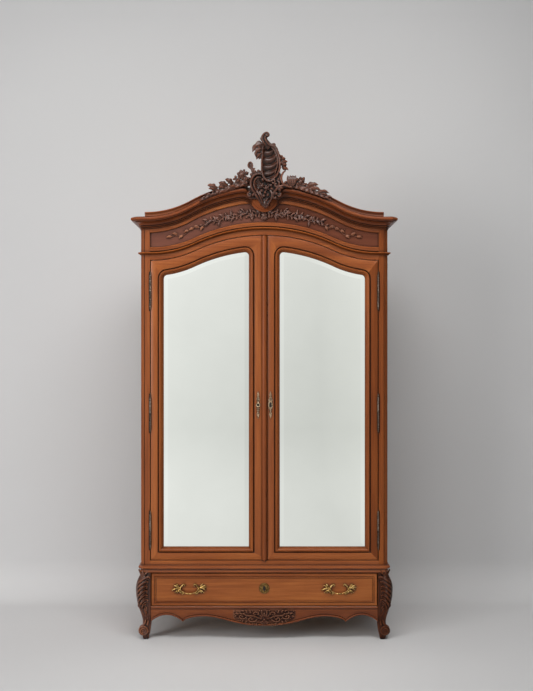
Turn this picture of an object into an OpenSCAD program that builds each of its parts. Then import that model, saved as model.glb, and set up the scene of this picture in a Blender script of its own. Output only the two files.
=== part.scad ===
// Two-door armoire with bevelled mirror doors, a base drawer, cabriole front legs,
// a serpentine cornice and a carved crest. Millimetres, +Z up, the front faces -Y,
// and the origin is on the floor under the middle of the outside box.

/* [Carcass] */
// Width across the side frames
body_w = 1236; // [1230:2:1250]
// Depth from the front of the corner posts to the back
body_d = 490; // [470:2:510]
// Width of the cut across each front corner
corner_cut = 15; // [12:1:16]
// Visible width of a corner post beside the door
post_w = 46; // [44:1:48]
// Height of the base unit, up to the top of the waist moulding
base_h = 375; // [373:1:377]
// Thickness of the boards between the posts
board_t = 22; // [20:1:22]

/* [Serpentine head] */
// Height of the door head at the middle
door_head = 2022; // [2018:1:2024]
// Fall of the door head from the middle to the sides
head_rise = 125; // [118:1:128]
// Height of the top of the frieze panel at the middle
crown_top = 2186; // [2180:1:2188]
// Fall of the crown from the middle to the sides
crown_rise = 151; // [149:1:153]

/* [Doors] */
// Thickness of the door frames
door_t = 27; // [26:0.5:27]
// Width of the moulding round each mirror
sight_w = 30; // [28:1:31]
// Distance from the middle of the armoire to each mirror
mirror_in = 77.5; // [76:0.5:79]
// Height of the bottom edge of each mirror
mirror_low = 463.5; // [461:0.5:466]
// Drop from the door head to the top of the mirror
mirror_drop = 76; // [74:1:78]
// Length of one hinge with its finials
hinge_l = 195; // [190:1:200]

/* [Drawer] */
// Height of the drawer front
drawer_h = 161; // [157:1:162]
// Half the spacing between the two drawer handles
handle_x = 374; // [360:2:390]

/* [Crest] */
// How far the crest stands in front of the posts
crest_proud = 70; // [68:1:74]

/* [Hidden] */

$fn = 48;
front = -(body_d - crest_proud) / 2;
back = front + body_d;
half_w = body_w / 2;
post_in = half_w - post_w;
post_depth = 45;
side_t = 22;
side_in = half_w - side_t;
back_t = 18;
body_top = crown_top - crown_rise + 17;

// Colours of the parts
wood = "#9c5b2d";
dark_wood = "#5b3020";
inner_wood = "#b98a5a";
brass = "#a98a4e";
iron = "#3b3632";
silver = "#dfe3df";

// ---- Serpentine curves: a convex arc at the middle and a concave arc at each side ----
convex_share = 0.62;
head_reach = 560;
crown_reach = 590;
curve_steps = 28;

function fall(u, reach, rise) =
  let (sum = (reach * reach + rise * rise) / (2 * rise),
       r1 = convex_share * sum,
       r2 = sum - r1)
  u < r1 * reach / sum ? r1 - sqrt(r1 * r1 - u * u)
  : u < reach ? rise - r2 + sqrt(r2 * r2 - pow(reach - u, 2))
  : rise;
function head(x) = door_head - fall(abs(x), head_reach, head_rise);
function crown(x) = crown_top - fall(abs(x), crown_reach, crown_rise);
function spread(a, b, n = curve_steps) = [for (i = [0:n]) a + (b - a) * i / n];
function head_line(a, b, lift) = [for (x = spread(a, b)) [x, head(x) + lift]];
function crown_line(a, b, lift) = [for (x = spread(a, b)) [x, crown(x) + lift]];

// Turns a shape drawn in X and Z into a slab between two depths.
module slab(y0, y1) {
  translate([0, y1, 0]) rotate([90, 0, 0]) linear_extrude(y1 - y0) children();
}

// A box from its lowest to its highest corner.
module block(low, high) {
  translate(low) cube(high - low);
}

module both_sides() {
  children();
  mirror([1, 0, 0]) children();
}

// Plan of the carcass grown outwards by p, with the corners cut. The mouldings run out
// a little less at the corners and at the sides than at the front.
corner_share = 0.66;
side_share = 0.92;
cut_share = 0.74;
function run(p) = half_w - corner_cut + corner_share * p;
function side(p) = half_w + side_share * p;
function cut_y(p) = front + corner_cut - cut_share * p;
function plan(p) = [
  [-run(p), front - p], [run(p), front - p], [side(p), cut_y(p)],
  [side(p), back], [-side(p), back], [-side(p), cut_y(p)]
];

// ---- Base unit ----
leg_top = base_h - 38;
leg_in = half_w - 51;
rail_low = 152;
drawer_low = 171;
rear_leg = 45;

// Height, inner edge, outer edge and corner cut of the cabriole leg, from foot to knee.
leg_sections = [
  [0, 578, 608, 9], [14, 577, 615, 10], [30, 573, 624, 12], [47, 571, 630, 14],
  [58, 569, 627, 14], [70, 567, 614, 11], [84, 567, 611, 10], [104, 567, 613, 11],
  [126, 567, 618, 13], [146, 567, 624, 16], [166, 567, 630, 19], [190, 567, 636, 22],
  [214, 567, 640, 24], [240, 567, 641, 25], [266, 567, 642, 25], [290, 567, 639, 24],
  [310, 567, 630, 20], [326, 567, 622, 16], [leg_top, 567, 618, 15]
];

function leg_outline(s) =
  let (inner = s[1] + leg_in - 567,
       outer = s[2] + half_w - 618,
       bulge = outer - half_w,
       face = front + max(-bulge, 0),
       rear = front + 51 - (s[1] - 567),
       flank = half_w + min(bulge, 0),
       third = 0.4 * (outer - inner))
  [
    [inner, face + 2, s[0]], [inner + third, face, s[0]],
    [outer - s[3], front - bulge, s[0]], [outer, front - bulge + s[3], s[0]],
    [flank, rear - third / 2, s[0]], [flank - 1, rear, s[0]], [inner, rear, s[0]]
  ];

module leg_loft() {
  corners = 7;
  last = len(leg_sections) - 1;
  points = [for (s = leg_sections) each leg_outline(s)];
  walls = [for (i = [0:last - 1]) for (j = [0:corners - 1])
    let (a = i * corners + j, b = i * corners + (j + 1) % corners)
    each [[a, b + corners, a + corners], [a, b, b + corners]]];
  foot = [for (j = [1:corners - 2]) [0, j + 1, j]];
  knee = [for (j = [1:corners - 2]) [last * corners, last * corners + j, last * corners + j + 1]];
  polyhedron(points = points, faces = concat(walls, foot, knee), convexity = 4);
}

module front_leg_right() {
  color(dark_wood) leg_loft();
}

module front_leg_left() {
  mirror([1, 0, 0]) front_leg_right();
}

module rear_legs() {
  color(wood) both_sides()
    block([half_w - rear_leg, back - rear_leg, 0], [half_w, back, leg_top]);
}

// Lower edge of the apron: a middle drop, a long rise, a cusp and an outer arch.
cusp_x = 407;
function apron_edge(u) =
  u < 300 ? 94 - 23 * cos(180 * pow(u / 300, 1.3))
  : u < cusp_x ? 87 + 30 * sqrt(max(0, 1 - pow((u - 300) / (cusp_x - 300), 2)))
  : 124 - 0.00505 * pow(u - 492, 2);

module apron_shape(reach, top, inset) {
  edge = [for (x = spread(-reach, reach, 80)) [x, apron_edge(abs(x)) + inset]];
  polygon(concat(edge, [[reach, top], [-reach, top]]));
}

module front_apron() {
  color(wood) slab(front + 2, front + board_t) apron_shape(leg_in, rail_low, 0);
}

carving_reach = 155;
module apron_carving() {
  color(dark_wood) slab(front - 5, front + 2)
    apron_shape(carving_reach, rail_low - 3, 5);
}

module base_boards() {
  color(wood) {
    both_sides()
      block([side_in, front + 51, 120], [half_w - 2, back - rear_leg, leg_top]);
    block([-half_w + rear_leg, back - 20, 120], [half_w - rear_leg, back, leg_top]);
  }
}

module drawer_rail() {
  color(wood) {
    block([-leg_in, front + 3, rail_low], [leg_in, front + 40, rail_low + 17]);
    block([-leg_in, front - 2, rail_low + 6], [leg_in, front + 3, rail_low + 16]);
  }
}

runner_in = 530;
guide_in = 553;
module drawer_runners() {
  color(inner_wood) both_sides() {
    block([runner_in, front + 51, rail_low], [side_in, back - rear_leg, rail_low + 17]);
    block([guide_in, front + 51, rail_low + 17], [side_in, back - rear_leg, 205]);
  }
}

// Steps of the waist moulding: depth below the top of the base, height and projection.
waist_steps = [[38, 10, 4], [28, 10, 8], [18, 10, 12], [8, 8, 7]];
bolt_w = 30;

module waist_moulding() {
  color(wood) difference() {
    for (s = waist_steps)
      translate([0, 0, base_h - s[0]]) linear_extrude(s[1]) difference() {
        polygon(plan(s[2]));
        translate([-post_in, front + post_depth]) square([2 * post_in, body_d]);
      }
    block([-bolt_w / 2 - 1, front + 24, leg_top - 1], [bolt_w / 2 + 1, front + 33, leg_top + 12]);
  }
}

module dust_board() {
  color(inner_wood) block([-post_in, front + post_depth, leg_top + 12],
                          [post_in, back, leg_top + 24]);
}

// ---- Hinges ----
hinge_z = [450, 1035, 1645];
pin_x = post_in - 2;
pin_y = front - 1;
knuckle_r = 6.5;
pin_r = 3;
knuckle_end = 10;
half_hinge = hinge_l / 2;

module hinge_recess() {
  for (z = hinge_z)
    translate([pin_x, pin_y, z - 1]) cylinder(r = knuckle_r + 0.7, h = hinge_l + 2);
}

module finial(z, flip) {
  translate([pin_x, pin_y, z]) mirror([0, 0, flip]) {
    cylinder(r = 4.5, h = 3);
    translate([0, 0, 6]) sphere(r = 3.9);
  }
}

module fixed_knuckle(z) {
  translate([pin_x, pin_y, z + knuckle_end]) {
    cylinder(r = knuckle_r, h = half_hinge - knuckle_end);
    cylinder(r = pin_r, h = hinge_l - 2 * knuckle_end - 6);
  }
  block([pin_x + 0.2, pin_y, z + knuckle_end], [post_in, front + 24, z + half_hinge]);
  finial(z + knuckle_end, 1);
}

module hinge_pins() {
  color(iron) both_sides() for (z = hinge_z) fixed_knuckle(z);
}

module door_knuckle(z) {
  low = z + half_hinge + 0.5;
  high = z + hinge_l - knuckle_end;
  difference() {
    union() {
      translate([pin_x, pin_y, low]) cylinder(r = knuckle_r, h = high - low);
      block([pin_x - 2, pin_y, low], [pin_x - 0.2, front + 24, high]);
    }
    translate([pin_x, pin_y, low - 1]) cylinder(r = pin_r + 0.05, h = high - low - 4);
  }
  finial(high, 0);
}

module right_door_knuckles() {
  color(iron) for (z = hinge_z) door_knuckle(z);
}

module left_door_knuckles() {
  mirror([1, 0, 0]) right_door_knuckles();
}

// ---- Carcass ----
rebate_w = 10;
rebate_y = front + door_t + 1;
// Depth of the groove that sets off the cut corner of a post.
quirk_depth = 3.5;

module corner_post_right() {
  color(wood) difference() {
    translate([0, 0, base_h]) linear_extrude(body_top - base_h) difference() {
      polygon([
        [post_in, front], [half_w - corner_cut, front], [half_w, front + corner_cut],
        [half_w, front + post_depth], [post_in - rebate_w, front + post_depth],
        [post_in - rebate_w, rebate_y], [post_in, rebate_y]
      ]);
      translate([half_w - corner_cut - 5, front - 1]) square([3, quirk_depth + 1]);
    }
    hinge_recess();
  }
}

module corner_post_left() {
  mirror([1, 0, 0]) corner_post_right();
}

rear_stile = 60;
side_rail = 95;
module side_frames() {
  color(wood) both_sides() {
    block([side_in, back - rear_stile, base_h], [half_w, back, body_top]);
    block([side_in, front + post_depth, base_h],
          [half_w, back - rear_stile, base_h + side_rail]);
    block([side_in, front + post_depth, body_top - side_rail - 27],
          [half_w, back - rear_stile, body_top]);
  }
}

module side_panels() {
  color(wood) both_sides()
    block([side_in + 7, front + post_depth, base_h + side_rail],
          [half_w - 7, back - rear_stile, body_top - side_rail - 27]);
}

back_stile = 75;
muntin = 80;
module back_frame() {
  color(inner_wood) {
    both_sides() block([side_in - back_stile, back - back_t, base_h], [side_in, back, body_top]);
    block([-muntin / 2, back - back_t, base_h + 90], [muntin / 2, back, body_top - 90]);
    for (z = [base_h, body_top - 90])
      block([-side_in + back_stile, back - back_t, z], [side_in - back_stile, back, z + 90]);
  }
}

module back_panels() {
  color(inner_wood) both_sides()
    block([muntin / 2, back - back_t + 5, base_h + 90],
          [side_in - back_stile, back - 5, body_top - 90]);
}

// Floor plan of a board that fits inside the carcass round the corner posts.
module inside_plan(y0) {
  polygon([
    [-post_in + rebate_w, y0], [post_in - rebate_w, y0],
    [post_in - rebate_w, front + post_depth], [side_in, front + post_depth],
    [side_in, back - back_t], [-side_in, back - back_t],
    [-side_in, front + post_depth], [-post_in + rebate_w, front + post_depth]
  ]);
}

mortise_x = 17.5;
module bottom_board() {
  color(wood) difference() {
    union() {
      translate([0, 0, base_h]) linear_extrude(board_t) inside_plan(rebate_y);
      block([-post_in, front, base_h], [post_in, rebate_y, base_h + board_t]);
    }
    block([mortise_x, front + 8.7, base_h + 5], [mortise_x + 9, front + 19.3, base_h + 30]);
  }
}

module top_board() {
  color(inner_wood)
    block([-side_in, front + board_t, body_top], [side_in, back, body_top + 16]);
}

// Half width that the wide bands are drawn to before they are cut to length.
widest = side(60);

// A band between two lifts of the door head curve, across the opening.
module head_band(reach, low, high) {
  polygon(concat(head_line(-reach, reach, low), head_line(reach, -reach, high)));
}

module crown_band(reach, low, high) {
  polygon(concat(crown_line(-reach, reach, low), crown_line(reach, -reach, high)));
}

module header_rail() {
  color(wood) difference() {
    slab(front, front + board_t) head_band(post_in, 3, 28);
    block([mortise_x, front + 8.7, door_head], [mortise_x + 9, front + 19.3, door_head + 16]);
  }
}

// A piece that follows the head curve and returns along the sides, p in front of the carcass.
module neck_step(low, high, p) {
  side_z = door_head - head_rise;
  intersection() {
    slab(front - p, front + corner_cut) head_band(widest, low, high);
    linear_extrude(3000) difference() {
      polygon(plan(p));
      polygon(plan(0));
    }
  }
  both_sides()
    block([half_w, front + corner_cut, side_z + low], [side(p), back, side_z + high]);
}

module neck_moulding() {
  color(wood) {
    neck_step(28, 38, 6);
    neck_step(38, 48, 10);
  }
}

// The round tablet behind the cartouche: radius, middle and flat top above the crown.
tablet_r = 72;
tablet_z = 26;
tablet_top = 12;

// The part of a crown band that lies between the corner posts.
module crown_band_inside(low, high) {
  intersection() {
    crown_band(widest, low, high);
    translate([-post_in, 0]) square([2 * post_in, 3000]);
  }
}

module frieze_rails() {
  color(wood) {
    slab(front, front + 20) head_band(post_in, 48, 68);
    slab(front, front + 20) crown_band_inside(0, 17);
    slab(front - 3, front + 8) intersection() {
      translate([0, crown_top + tablet_z]) circle(r = tablet_r);
      translate([-tablet_r, crown_top - tablet_r]) square([2 * tablet_r, tablet_r + tablet_top]);
    }
  }
}

module frieze_panel() {
  color(dark_wood) slab(front + 8, front + 18) difference() {
    crown_band_inside(-150, 0);
    head_band(post_in, -150, 68);
  }
}

// Middle line and half height of the leafy garland on the frieze panel.
garland_reach = 505;
function garland_mid(x) = (head(x) + 68 + crown(x)) / 2 - 8 * pow(1 - abs(x) / garland_reach, 2);
function garland_half(x) = 4 + 20 * sqrt(1 - abs(x) / garland_reach);

module frieze_carving() {
  xs = spread(-garland_reach, garland_reach, 60);
  color(dark_wood) slab(front + 1, front + 8) difference() {
    polygon(concat(
      [for (x = xs) [x, garland_mid(x) - garland_half(x)]],
      [for (x = spread(garland_reach, -garland_reach, 60)) [x, garland_mid(x) + garland_half(x)]]
    ));
    translate([0, crown_top + tablet_z]) circle(r = tablet_r + 1);
  }
}

// Steps of the cornice above the crown curve: bottom, top and projection. The top step is
// a ledge that the fillet and the sprays stand on.
ledge = 76;
cornice_steps = [[17, 24, 6], [24, 34, 9], [34, 56, 30], [56, ledge, 50]];
fillet_top = 99;
// Half width of the gap in the middle of the cornice, where the cartouche stands.
break_x = 62;

module cornice_front() {
  color(wood) difference() {
    for (s = cornice_steps) intersection() {
      slab(front - s[2], front + corner_cut) crown_band(widest, s[0], s[1]);
      linear_extrude(3000) polygon(plan(s[2]));
    }
    block([-break_x, front - 60, crown_top - 20], [break_x, front + 60, crown_top + 120]);
  }
}

module cornice_returns() {
  level = crown_top - crown_rise;
  color(wood) both_sides() {
    block([half_w, front + corner_cut, level], [half_w + 3, back, level + 17]);
    for (s = cornice_steps)
      block([side_in, front + corner_cut, level + s[0]], [side(s[2]), back, level + s[1]]);
  }
}

fillet_reach = 593;
module cornice_fillet() {
  color(dark_wood) difference() {
    slab(front - 40, front + board_t) intersection() {
      crown_band(widest, ledge, fillet_top);
      translate([-fillet_reach, 0]) square([2 * fillet_reach, 3000]);
    }
    block([-break_x, front - 60, crown_top], [break_x, front + 60, crown_top + 120]);
  }
}

// ---- Crest ----
// The carvings stand in front of the deepest step of the cornice.
crest_y = front - 51;
spray_y = front - 62;

// Silhouette of the asymmetric cartouche, measured from the top of the frieze panel.
cartouche = [
  [8, -26], [-18, -11], [-44, 23], [-61, 49], [-66, 88], [-61, 122], [-40, 144],
  [-18, 161], [-7, 182], [-9, 208], [-18, 225], [-38, 219], [-60, 250], [-44, 277],
  [-18, 296], [-18, 324], [-9, 346], [10, 359], [27, 348], [27, 333], [16, 324],
  [38, 294], [59, 288], [83, 238], [107, 221], [115, 200], [122, 165], [100, 152],
  [92, 131], [98, 105], [115, 88], [85, 70], [64, 45], [51, 19], [25, -7]
];

// Top edges of the two sprays, from the cartouche outwards, measured in the same way.
spray_left_top = [
  [-62, 174], [-70, 204], [-81, 174], [-109, 163], [-139, 135], [-177, 120],
  [-193, 114], [-223, 100], [-242, 81], [-279, 88], [-284, 79], [-272, 62], [-320, 23]
];
spray_right_top = [
  [100, 112], [120, 137], [154, 139], [176, 124], [201, 126], [208, 92], [240, 92],
  [270, 94], [280, 70], [300, 55], [326, 45], [340, 20]
];

module cartouche_shape() {
  translate([0, crown_top]) polygon(cartouche);
}

module crest_cartouche() {
  color(dark_wood) {
    slab(front - crest_proud, crest_y) cartouche_shape();
    slab(crest_y, front - 3) intersection() {
      cartouche_shape();
      translate([-break_x + 1, crown_top - 60]) square([2 * break_x - 2, 600]);
    }
    slab(front - 3, front + board_t) intersection() {
      cartouche_shape();
      translate([-break_x + 1, crown_top + 17]) square([2 * break_x - 2, fillet_top - 17]);
    }
    slab(crest_y, front - 20) intersection() {
      cartouche_shape();
      translate([-150, crown_top + 105]) square([300, 400]);
    }
  }
}

// One spray: a front layer before the cornice, and a layer behind it standing on the ledge.
module spray(top) {
  first = top[0][0];
  end = top[len(top) - 1][0];
  color(dark_wood) {
    slab(spray_y, crest_y) polygon(concat(
      [for (p = top) [p[0], p[1] + crown_top]],
      [for (x = spread(end, first, 12)) [x, crown(x) + ledge - 14]]
    ));
    slab(crest_y, front - 41) polygon(concat(
      [for (p = top) [p[0], max(p[1] + crown_top, crown(p[0]) + ledge + 2)]],
      [for (x = spread(end, first, 12)) [x, crown(x) + ledge]]
    ));
  }
}

module crest_spray_left() {
  difference() {
    spray(spray_left_top);
    slab(front - 80, front) cartouche_shape();
  }
}

module crest_spray_right() {
  difference() {
    spray(spray_right_top);
    slab(front - 80, front) cartouche_shape();
  }
}

// ---- Inside ----
shelf_z = 1700;
cleat_h = 110;
rail_z = 1635;
rail_y = 35;
rail_r = 12.5;

module hat_shelf() {
  color(inner_wood) translate([0, 0, shelf_z]) linear_extrude(20)
    inside_plan(front + post_depth + 5);
}

module shelf_cleats() {
  color(inner_wood) both_sides()
    block([side_in - 20, front + post_depth, shelf_z - cleat_h],
          [side_in, back - back_t, shelf_z]);
}

module rail_sockets() {
  color(brass) both_sides() translate([side_in - 32, rail_y, rail_z]) rotate([0, 90, 0])
    difference() {
      cylinder(r = 22, h = 12);
      translate([0, 0, -1]) cylinder(r = rail_r + 0.1, h = 10);
    }
}

module hanging_rail() {
  reach = side_in - 23.2;
  color(brass) translate([-reach, rail_y, rail_z]) rotate([0, 90, 0])
    cylinder(r = rail_r, h = 2 * reach);
}

// ---- Doors, drawn for the right side ----
door_low = 400;
mirror_out = half_w - 113.5;
door_edge = post_in - 4;
meeting_x = 18;
corner_r = 14;

// Outline of the mirror opening grown by d, with rounded top corners.
function top_edge(x, d) = head(x) - mirror_drop + d;
function slope(x, d) = (top_edge(x + 1, d) - top_edge(x - 1, d)) / 2;
function corner(x, sign, d) =
  let (r = corner_r + d, cx = x - sign * r, m = slope(cx, d),
       cz = top_edge(cx, d) - r * sqrt(1 + m * m))
  [for (t = [0:1 / 6:1])
    let (a = sign > 0 ? t * (90 + atan(m)) : 180 - t * (90 - atan(m)))
    [cx + r * cos(a), cz + r * sin(a)]];
function reversed(list) = [for (i = [len(list) - 1:-1:0]) list[i]];
function opening(d) =
  let (x0 = mirror_in - d, x1 = mirror_out + d, r = corner_r + d)
  concat(
    [[x0, mirror_low - d], [x1, mirror_low - d]],
    corner(x1, 1, d),
    [for (x = spread(x1 - r, x0 + r, 20)) if (x < x1 - r && x > x0 + r) [x, top_edge(x, d)]],
    reversed(corner(x0, -1, d))
  );

module door_outline(edge_in) {
  polygon(concat(
    [[edge_in, door_low], [door_edge, door_low]],
    [for (x = spread(door_edge, edge_in)) [x, head(x)]]
  ));
}

// One door frame: flat stiles and rails, a groove, a moulding and a lip before the mirror.
lip_w = 10;
lip_y = front + 14;
groove_w = 6;
groove_depth = 6;
module door_frame(edge_in) {
  difference() {
    slab(front, front + door_t) difference() {
      door_outline(edge_in);
      polygon(opening(17));
    }
    slab(front - 1, front + groove_depth) difference() {
      polygon(opening(sight_w - 2));
      polygon(opening(sight_w - 2 - groove_w));
    }
  }
  slab(front + 6, front + door_t) difference() {
    polygon(opening(17));
    polygon(opening(lip_w));
  }
  slab(front + 6, lip_y) difference() {
    polygon(opening(lip_w));
    polygon(opening(0));
  }
}

// Mitre lines run from each corner of the opening to the same corner of the door.
module stile_zones(edge_in) {
  far = 40;
  module zone(x_edge, x_open, out) {
    low = [x_open, mirror_low];
    high = [x_open, top_edge(x_open, 0)];
    over_low = [x_edge, door_low] + (([x_edge, door_low] - low) * far / 60);
    over_high = [x_edge, head(x_edge)] + (([x_edge, head(x_edge)] - high) * far / 60);
    inward = (x_open - x_edge) / 4;
    polygon([low, over_low, over_high, high, high + [inward, -abs(inward)], low + [inward, abs(inward)]]);
  }
  zone(door_edge, mirror_out);
  zone(edge_in, mirror_in);
}

module door_stiles(edge_in) {
  difference() {
    intersection() {
      door_frame(edge_in);
      slab(front - 10, front + 50) stile_zones(edge_in);
    }
    hinge_recess();
  }
}

module door_rails(edge_in) {
  difference() {
    door_frame(edge_in);
    slab(front - 10, front + 50) stile_zones(edge_in);
  }
}

keyhole_x = 31;
keyhole_z = 1178;
module keyhole(x, z) {
  translate([x, z]) {
    circle(r = 4, $fn = 12);
    translate([-2, -14]) square([4, 14]);
  }
}

// Groove for a flush bolt in the closing edge of the right door.
module bolt_groove(z0, z1) {
  block([meeting_x - 1, front + 9, z0], [meeting_x + 8, front + 19, z1]);
}

module right_door_stiles() {
  color(wood) difference() {
    door_stiles(meeting_x);
    bolt_groove(1900, 2100);
    bolt_groove(300, 520);
  }
}

module right_door_rails() {
  color(wood) difference() {
    door_rails(meeting_x);
    bolt_groove(1900, 2100);
    bolt_groove(300, 520);
  }
}

module left_door_stiles() {
  color(wood) difference() {
    mirror([1, 0, 0]) door_stiles(-meeting_x + 3);
    slab(front - 10, front + 50) keyhole(-keyhole_x, keyhole_z);
  }
}

module left_door_rails() {
  color(wood) mirror([1, 0, 0]) door_rails(-meeting_x + 3);
}

module right_mirror() {
  color(silver) slab(lip_y, lip_y + 5) polygon(opening(lip_w - 1));
}

module left_mirror() {
  mirror([1, 0, 0]) right_mirror();
}

module right_mirror_back() {
  color(inner_wood) slab(lip_y + 5.5, front + door_t - 0.5) polygon(opening(lip_w - 0.5));
}

module left_mirror_back() {
  mirror([1, 0, 0]) right_mirror_back();
}

// Cover strip fixed to the left door over the joint between the doors.
module astragal() {
  color(wood) translate([0, 0, door_low + 1]) linear_extrude(head(16) - door_low - 2)
    polygon(concat(
      [[15, front], [-16, front]],
      [for (a = [170:-20:10]) [-0.5 + 14 * cos(a), front - 3 - 4 * sin(a)]]
    ));
}

// Long leaf-shaped key plate with a ring at the keyhole.
escutcheon_half = [
  [0, 72], [5, 56], [8, 40], [5, 28], [9, 16], [12, 6], [12, -6], [9, -16], [10, -26],
  [6, -36], [7, -48], [4, -60], [0, -72]
];
module escutcheon(x) {
  slab(front - 3, front) difference() {
    translate([x, keyhole_z]) polygon(concat(
      escutcheon_half, [for (p = reversed(escutcheon_half)) if (p[0] > 0) [-p[0], p[1]]]
    ));
    keyhole(x, keyhole_z);
  }
}

module left_escutcheon() {
  color(brass) escutcheon(-keyhole_x);
}

module right_escutcheon() {
  color(brass) escutcheon(keyhole_x);
}

// Rim lock inside the left door; its bolt slides into the keeper on the right door.
lock_z = 1175;
module door_lock_case() {
  y0 = front + door_t;
  color(iron) difference() {
    block([-62, y0, lock_z - 50], [12, y0 + 14, lock_z + 50]);
    block([-60, y0 + 2, lock_z - 48], [10, y0 + 12, lock_z + 48]);
    block([0, y0 + 2.7, lock_z - 10.3], [20, y0 + 11.3, lock_z + 10.3]);
    slab(y0 - 1, y0 + 3) keyhole(-keyhole_x, keyhole_z);
  }
}

module door_lock_bolt() {
  y0 = front + door_t + 3;
  color(brass) block([-28, y0, lock_z - 10], [12, y0 + 8, lock_z + 10]);
}

module lock_keeper() {
  y0 = front + door_t;
  color(iron) difference() {
    block([19, y0, lock_z - 30], [49, y0 + 14, lock_z + 30]);
    block([18, y0 + 2.4, lock_z - 12], [34, y0 + 11.6, lock_z + 12]);
  }
}

module flush_bolt(z0, z1) {
  block([meeting_x + 0.3, front + 9.3, z0], [meeting_x + 7.7, front + 18.7, z1]);
}

module upper_flush_bolt() {
  color(iron) flush_bolt(1905, door_head - 4);
}

module lower_flush_bolt() {
  color(iron) flush_bolt(404, 515);
}

// ---- Drawer ----
drawer_x = leg_in - 3;
drawer_back_y = back - 60;
drawer_side = 12;
field_in = 18;

module drawer_front() {
  high = drawer_low + drawer_h;
  color(wood) difference() {
    block([-drawer_x, front - 1, drawer_low], [drawer_x, front + 21, high]);
    slab(front - 2, front + 1) difference() {
      translate([-drawer_x + field_in - 3, drawer_low + field_in - 3])
        square([2 * (drawer_x - field_in + 3), drawer_h - 2 * field_in + 6]);
      translate([-drawer_x + field_in, drawer_low + field_in])
        square([2 * (drawer_x - field_in), drawer_h - 2 * field_in]);
    }
    slab(front - 5, front + 30) keyhole(0, 258);
  }
}

module drawer_box() {
  x1 = guide_in - 1;
  color(inner_wood) {
    both_sides() block([x1 - drawer_side, front + 21, 170], [x1, drawer_back_y, 316]);
    block([-x1 + drawer_side, drawer_back_y - drawer_side, 190],
          [x1 - drawer_side, drawer_back_y, 308]);
  }
}

module drawer_bottom() {
  x1 = guide_in - 1 - drawer_side;
  color(inner_wood)
    block([-x1, front + 21, 180], [x1, drawer_back_y, 188]);
}

module drawer_lock_case() {
  y0 = front + 21;
  color(iron) difference() {
    block([-32, y0, 250], [32, y0 + 14, 326]);
    block([-30, y0 + 2, 252], [30, y0 + 12, 324]);
    block([-bolt_w / 2 - 0.4, y0 + 3.6, 320], [bolt_w / 2 + 0.4, y0 + 10.4, 330]);
    slab(y0 - 1, y0 + 3) keyhole(0, 258);
  }
}

module drawer_lock_bolt() {
  y0 = front + 25;
  color(brass) block([-bolt_w / 2, y0, 290], [bolt_w / 2, y0 + 6, 329]);
}

handle_z = 257;
handle_half = 46;
bail_y = front - 17;
post_half = 5;
bail_pin_r = 2;
bail_play = 0.06;

// Outline of a leafy back plate about its post, pointing away from the bail.
plate_shape = [
  [14, 2], [6, 18], [-4, 8], [-16, 22], [-20, 8], [-39, -4], [-22, -8], [-14, -20],
  [0, -12], [10, -14]
];
module handle_plate() {
  translate([handle_half, 0, handle_z]) {
    slab(front - 5, front - 1) mirror([1, 0]) polygon(plate_shape);
    difference() {
      union() {
        block([-post_half, bail_y, -post_half], [post_half, front - 5, post_half]);
        translate([-post_half, bail_y, 0]) rotate([0, 90, 0])
          cylinder(r = post_half, h = 2 * post_half);
      }
      translate([-10, bail_y, 0]) rotate([0, 90, 0])
        cylinder(r = bail_pin_r + bail_play, h = 20);
    }
  }
}

// Back plates of both handles, and the round key plate of the drawer between them.
module handle_plates() {
  color(brass) {
    for (x = [-handle_x, handle_x]) translate([x, 0, 0]) both_sides() handle_plate();
    slab(front - 4, front - 1) difference() {
      translate([0, 258]) circle(r = 22);
      keyhole(0, 258);
    }
  }
}

bail_half = 36;
bail_r = 3.5;
bail_dip = 22;
module bail(x) {
  ring_r = (bail_half * bail_half + bail_dip * bail_dip) / (2 * bail_dip);
  sweep = 2 * asin(bail_half / ring_r);
  translate([x, bail_y, handle_z]) {
    translate([0, 0, ring_r - bail_dip]) rotate([90, 0, 0]) rotate([0, 0, -90 - sweep / 2])
      rotate_extrude(angle = sweep) translate([ring_r, 0]) circle(r = bail_r);
    for (s = [-1, 1]) translate([s > 0 ? bail_half - 3 : -handle_half - 4, 0, 0])
      rotate([0, 90, 0]) cylinder(r = bail_pin_r, h = handle_half - bail_half + 7);
    for (s = [-1, 1]) translate([s * (bail_half - 1), 0, 0]) sphere(r = bail_r);
  }
}

module bail_left() {
  color(brass) bail(-handle_x);
}

module bail_right() {
  color(brass) bail(handle_x);
}

front_leg_left();
front_leg_right();
rear_legs();
front_apron();
apron_carving();
base_boards();
drawer_rail();
drawer_runners();
waist_moulding();
dust_board();
corner_post_left();
corner_post_right();
side_frames();
side_panels();
back_frame();
back_panels();
bottom_board();
top_board();
header_rail();
neck_moulding();
frieze_rails();
frieze_panel();
frieze_carving();
cornice_front();
cornice_returns();
cornice_fillet();
crest_cartouche();
crest_spray_left();
crest_spray_right();
hat_shelf();
shelf_cleats();
hanging_rail();
rail_sockets();
hinge_pins();
left_door_stiles();
left_door_rails();
left_mirror();
left_mirror_back();
left_door_knuckles();
left_escutcheon();
astragal();
door_lock_case();
door_lock_bolt();
right_door_stiles();
right_door_rails();
right_mirror();
right_mirror_back();
right_door_knuckles();
right_escutcheon();
lock_keeper();
upper_flush_bolt();
lower_flush_bolt();
drawer_front();
drawer_box();
drawer_bottom();
handle_plates();
bail_left();
bail_right();
drawer_lock_case();
drawer_lock_bolt();
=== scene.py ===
# Armoire with mirror doors: the looks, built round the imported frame.
# Shapes are worked out in millimetres and written to the meshes in metres.
import math
import random

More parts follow.
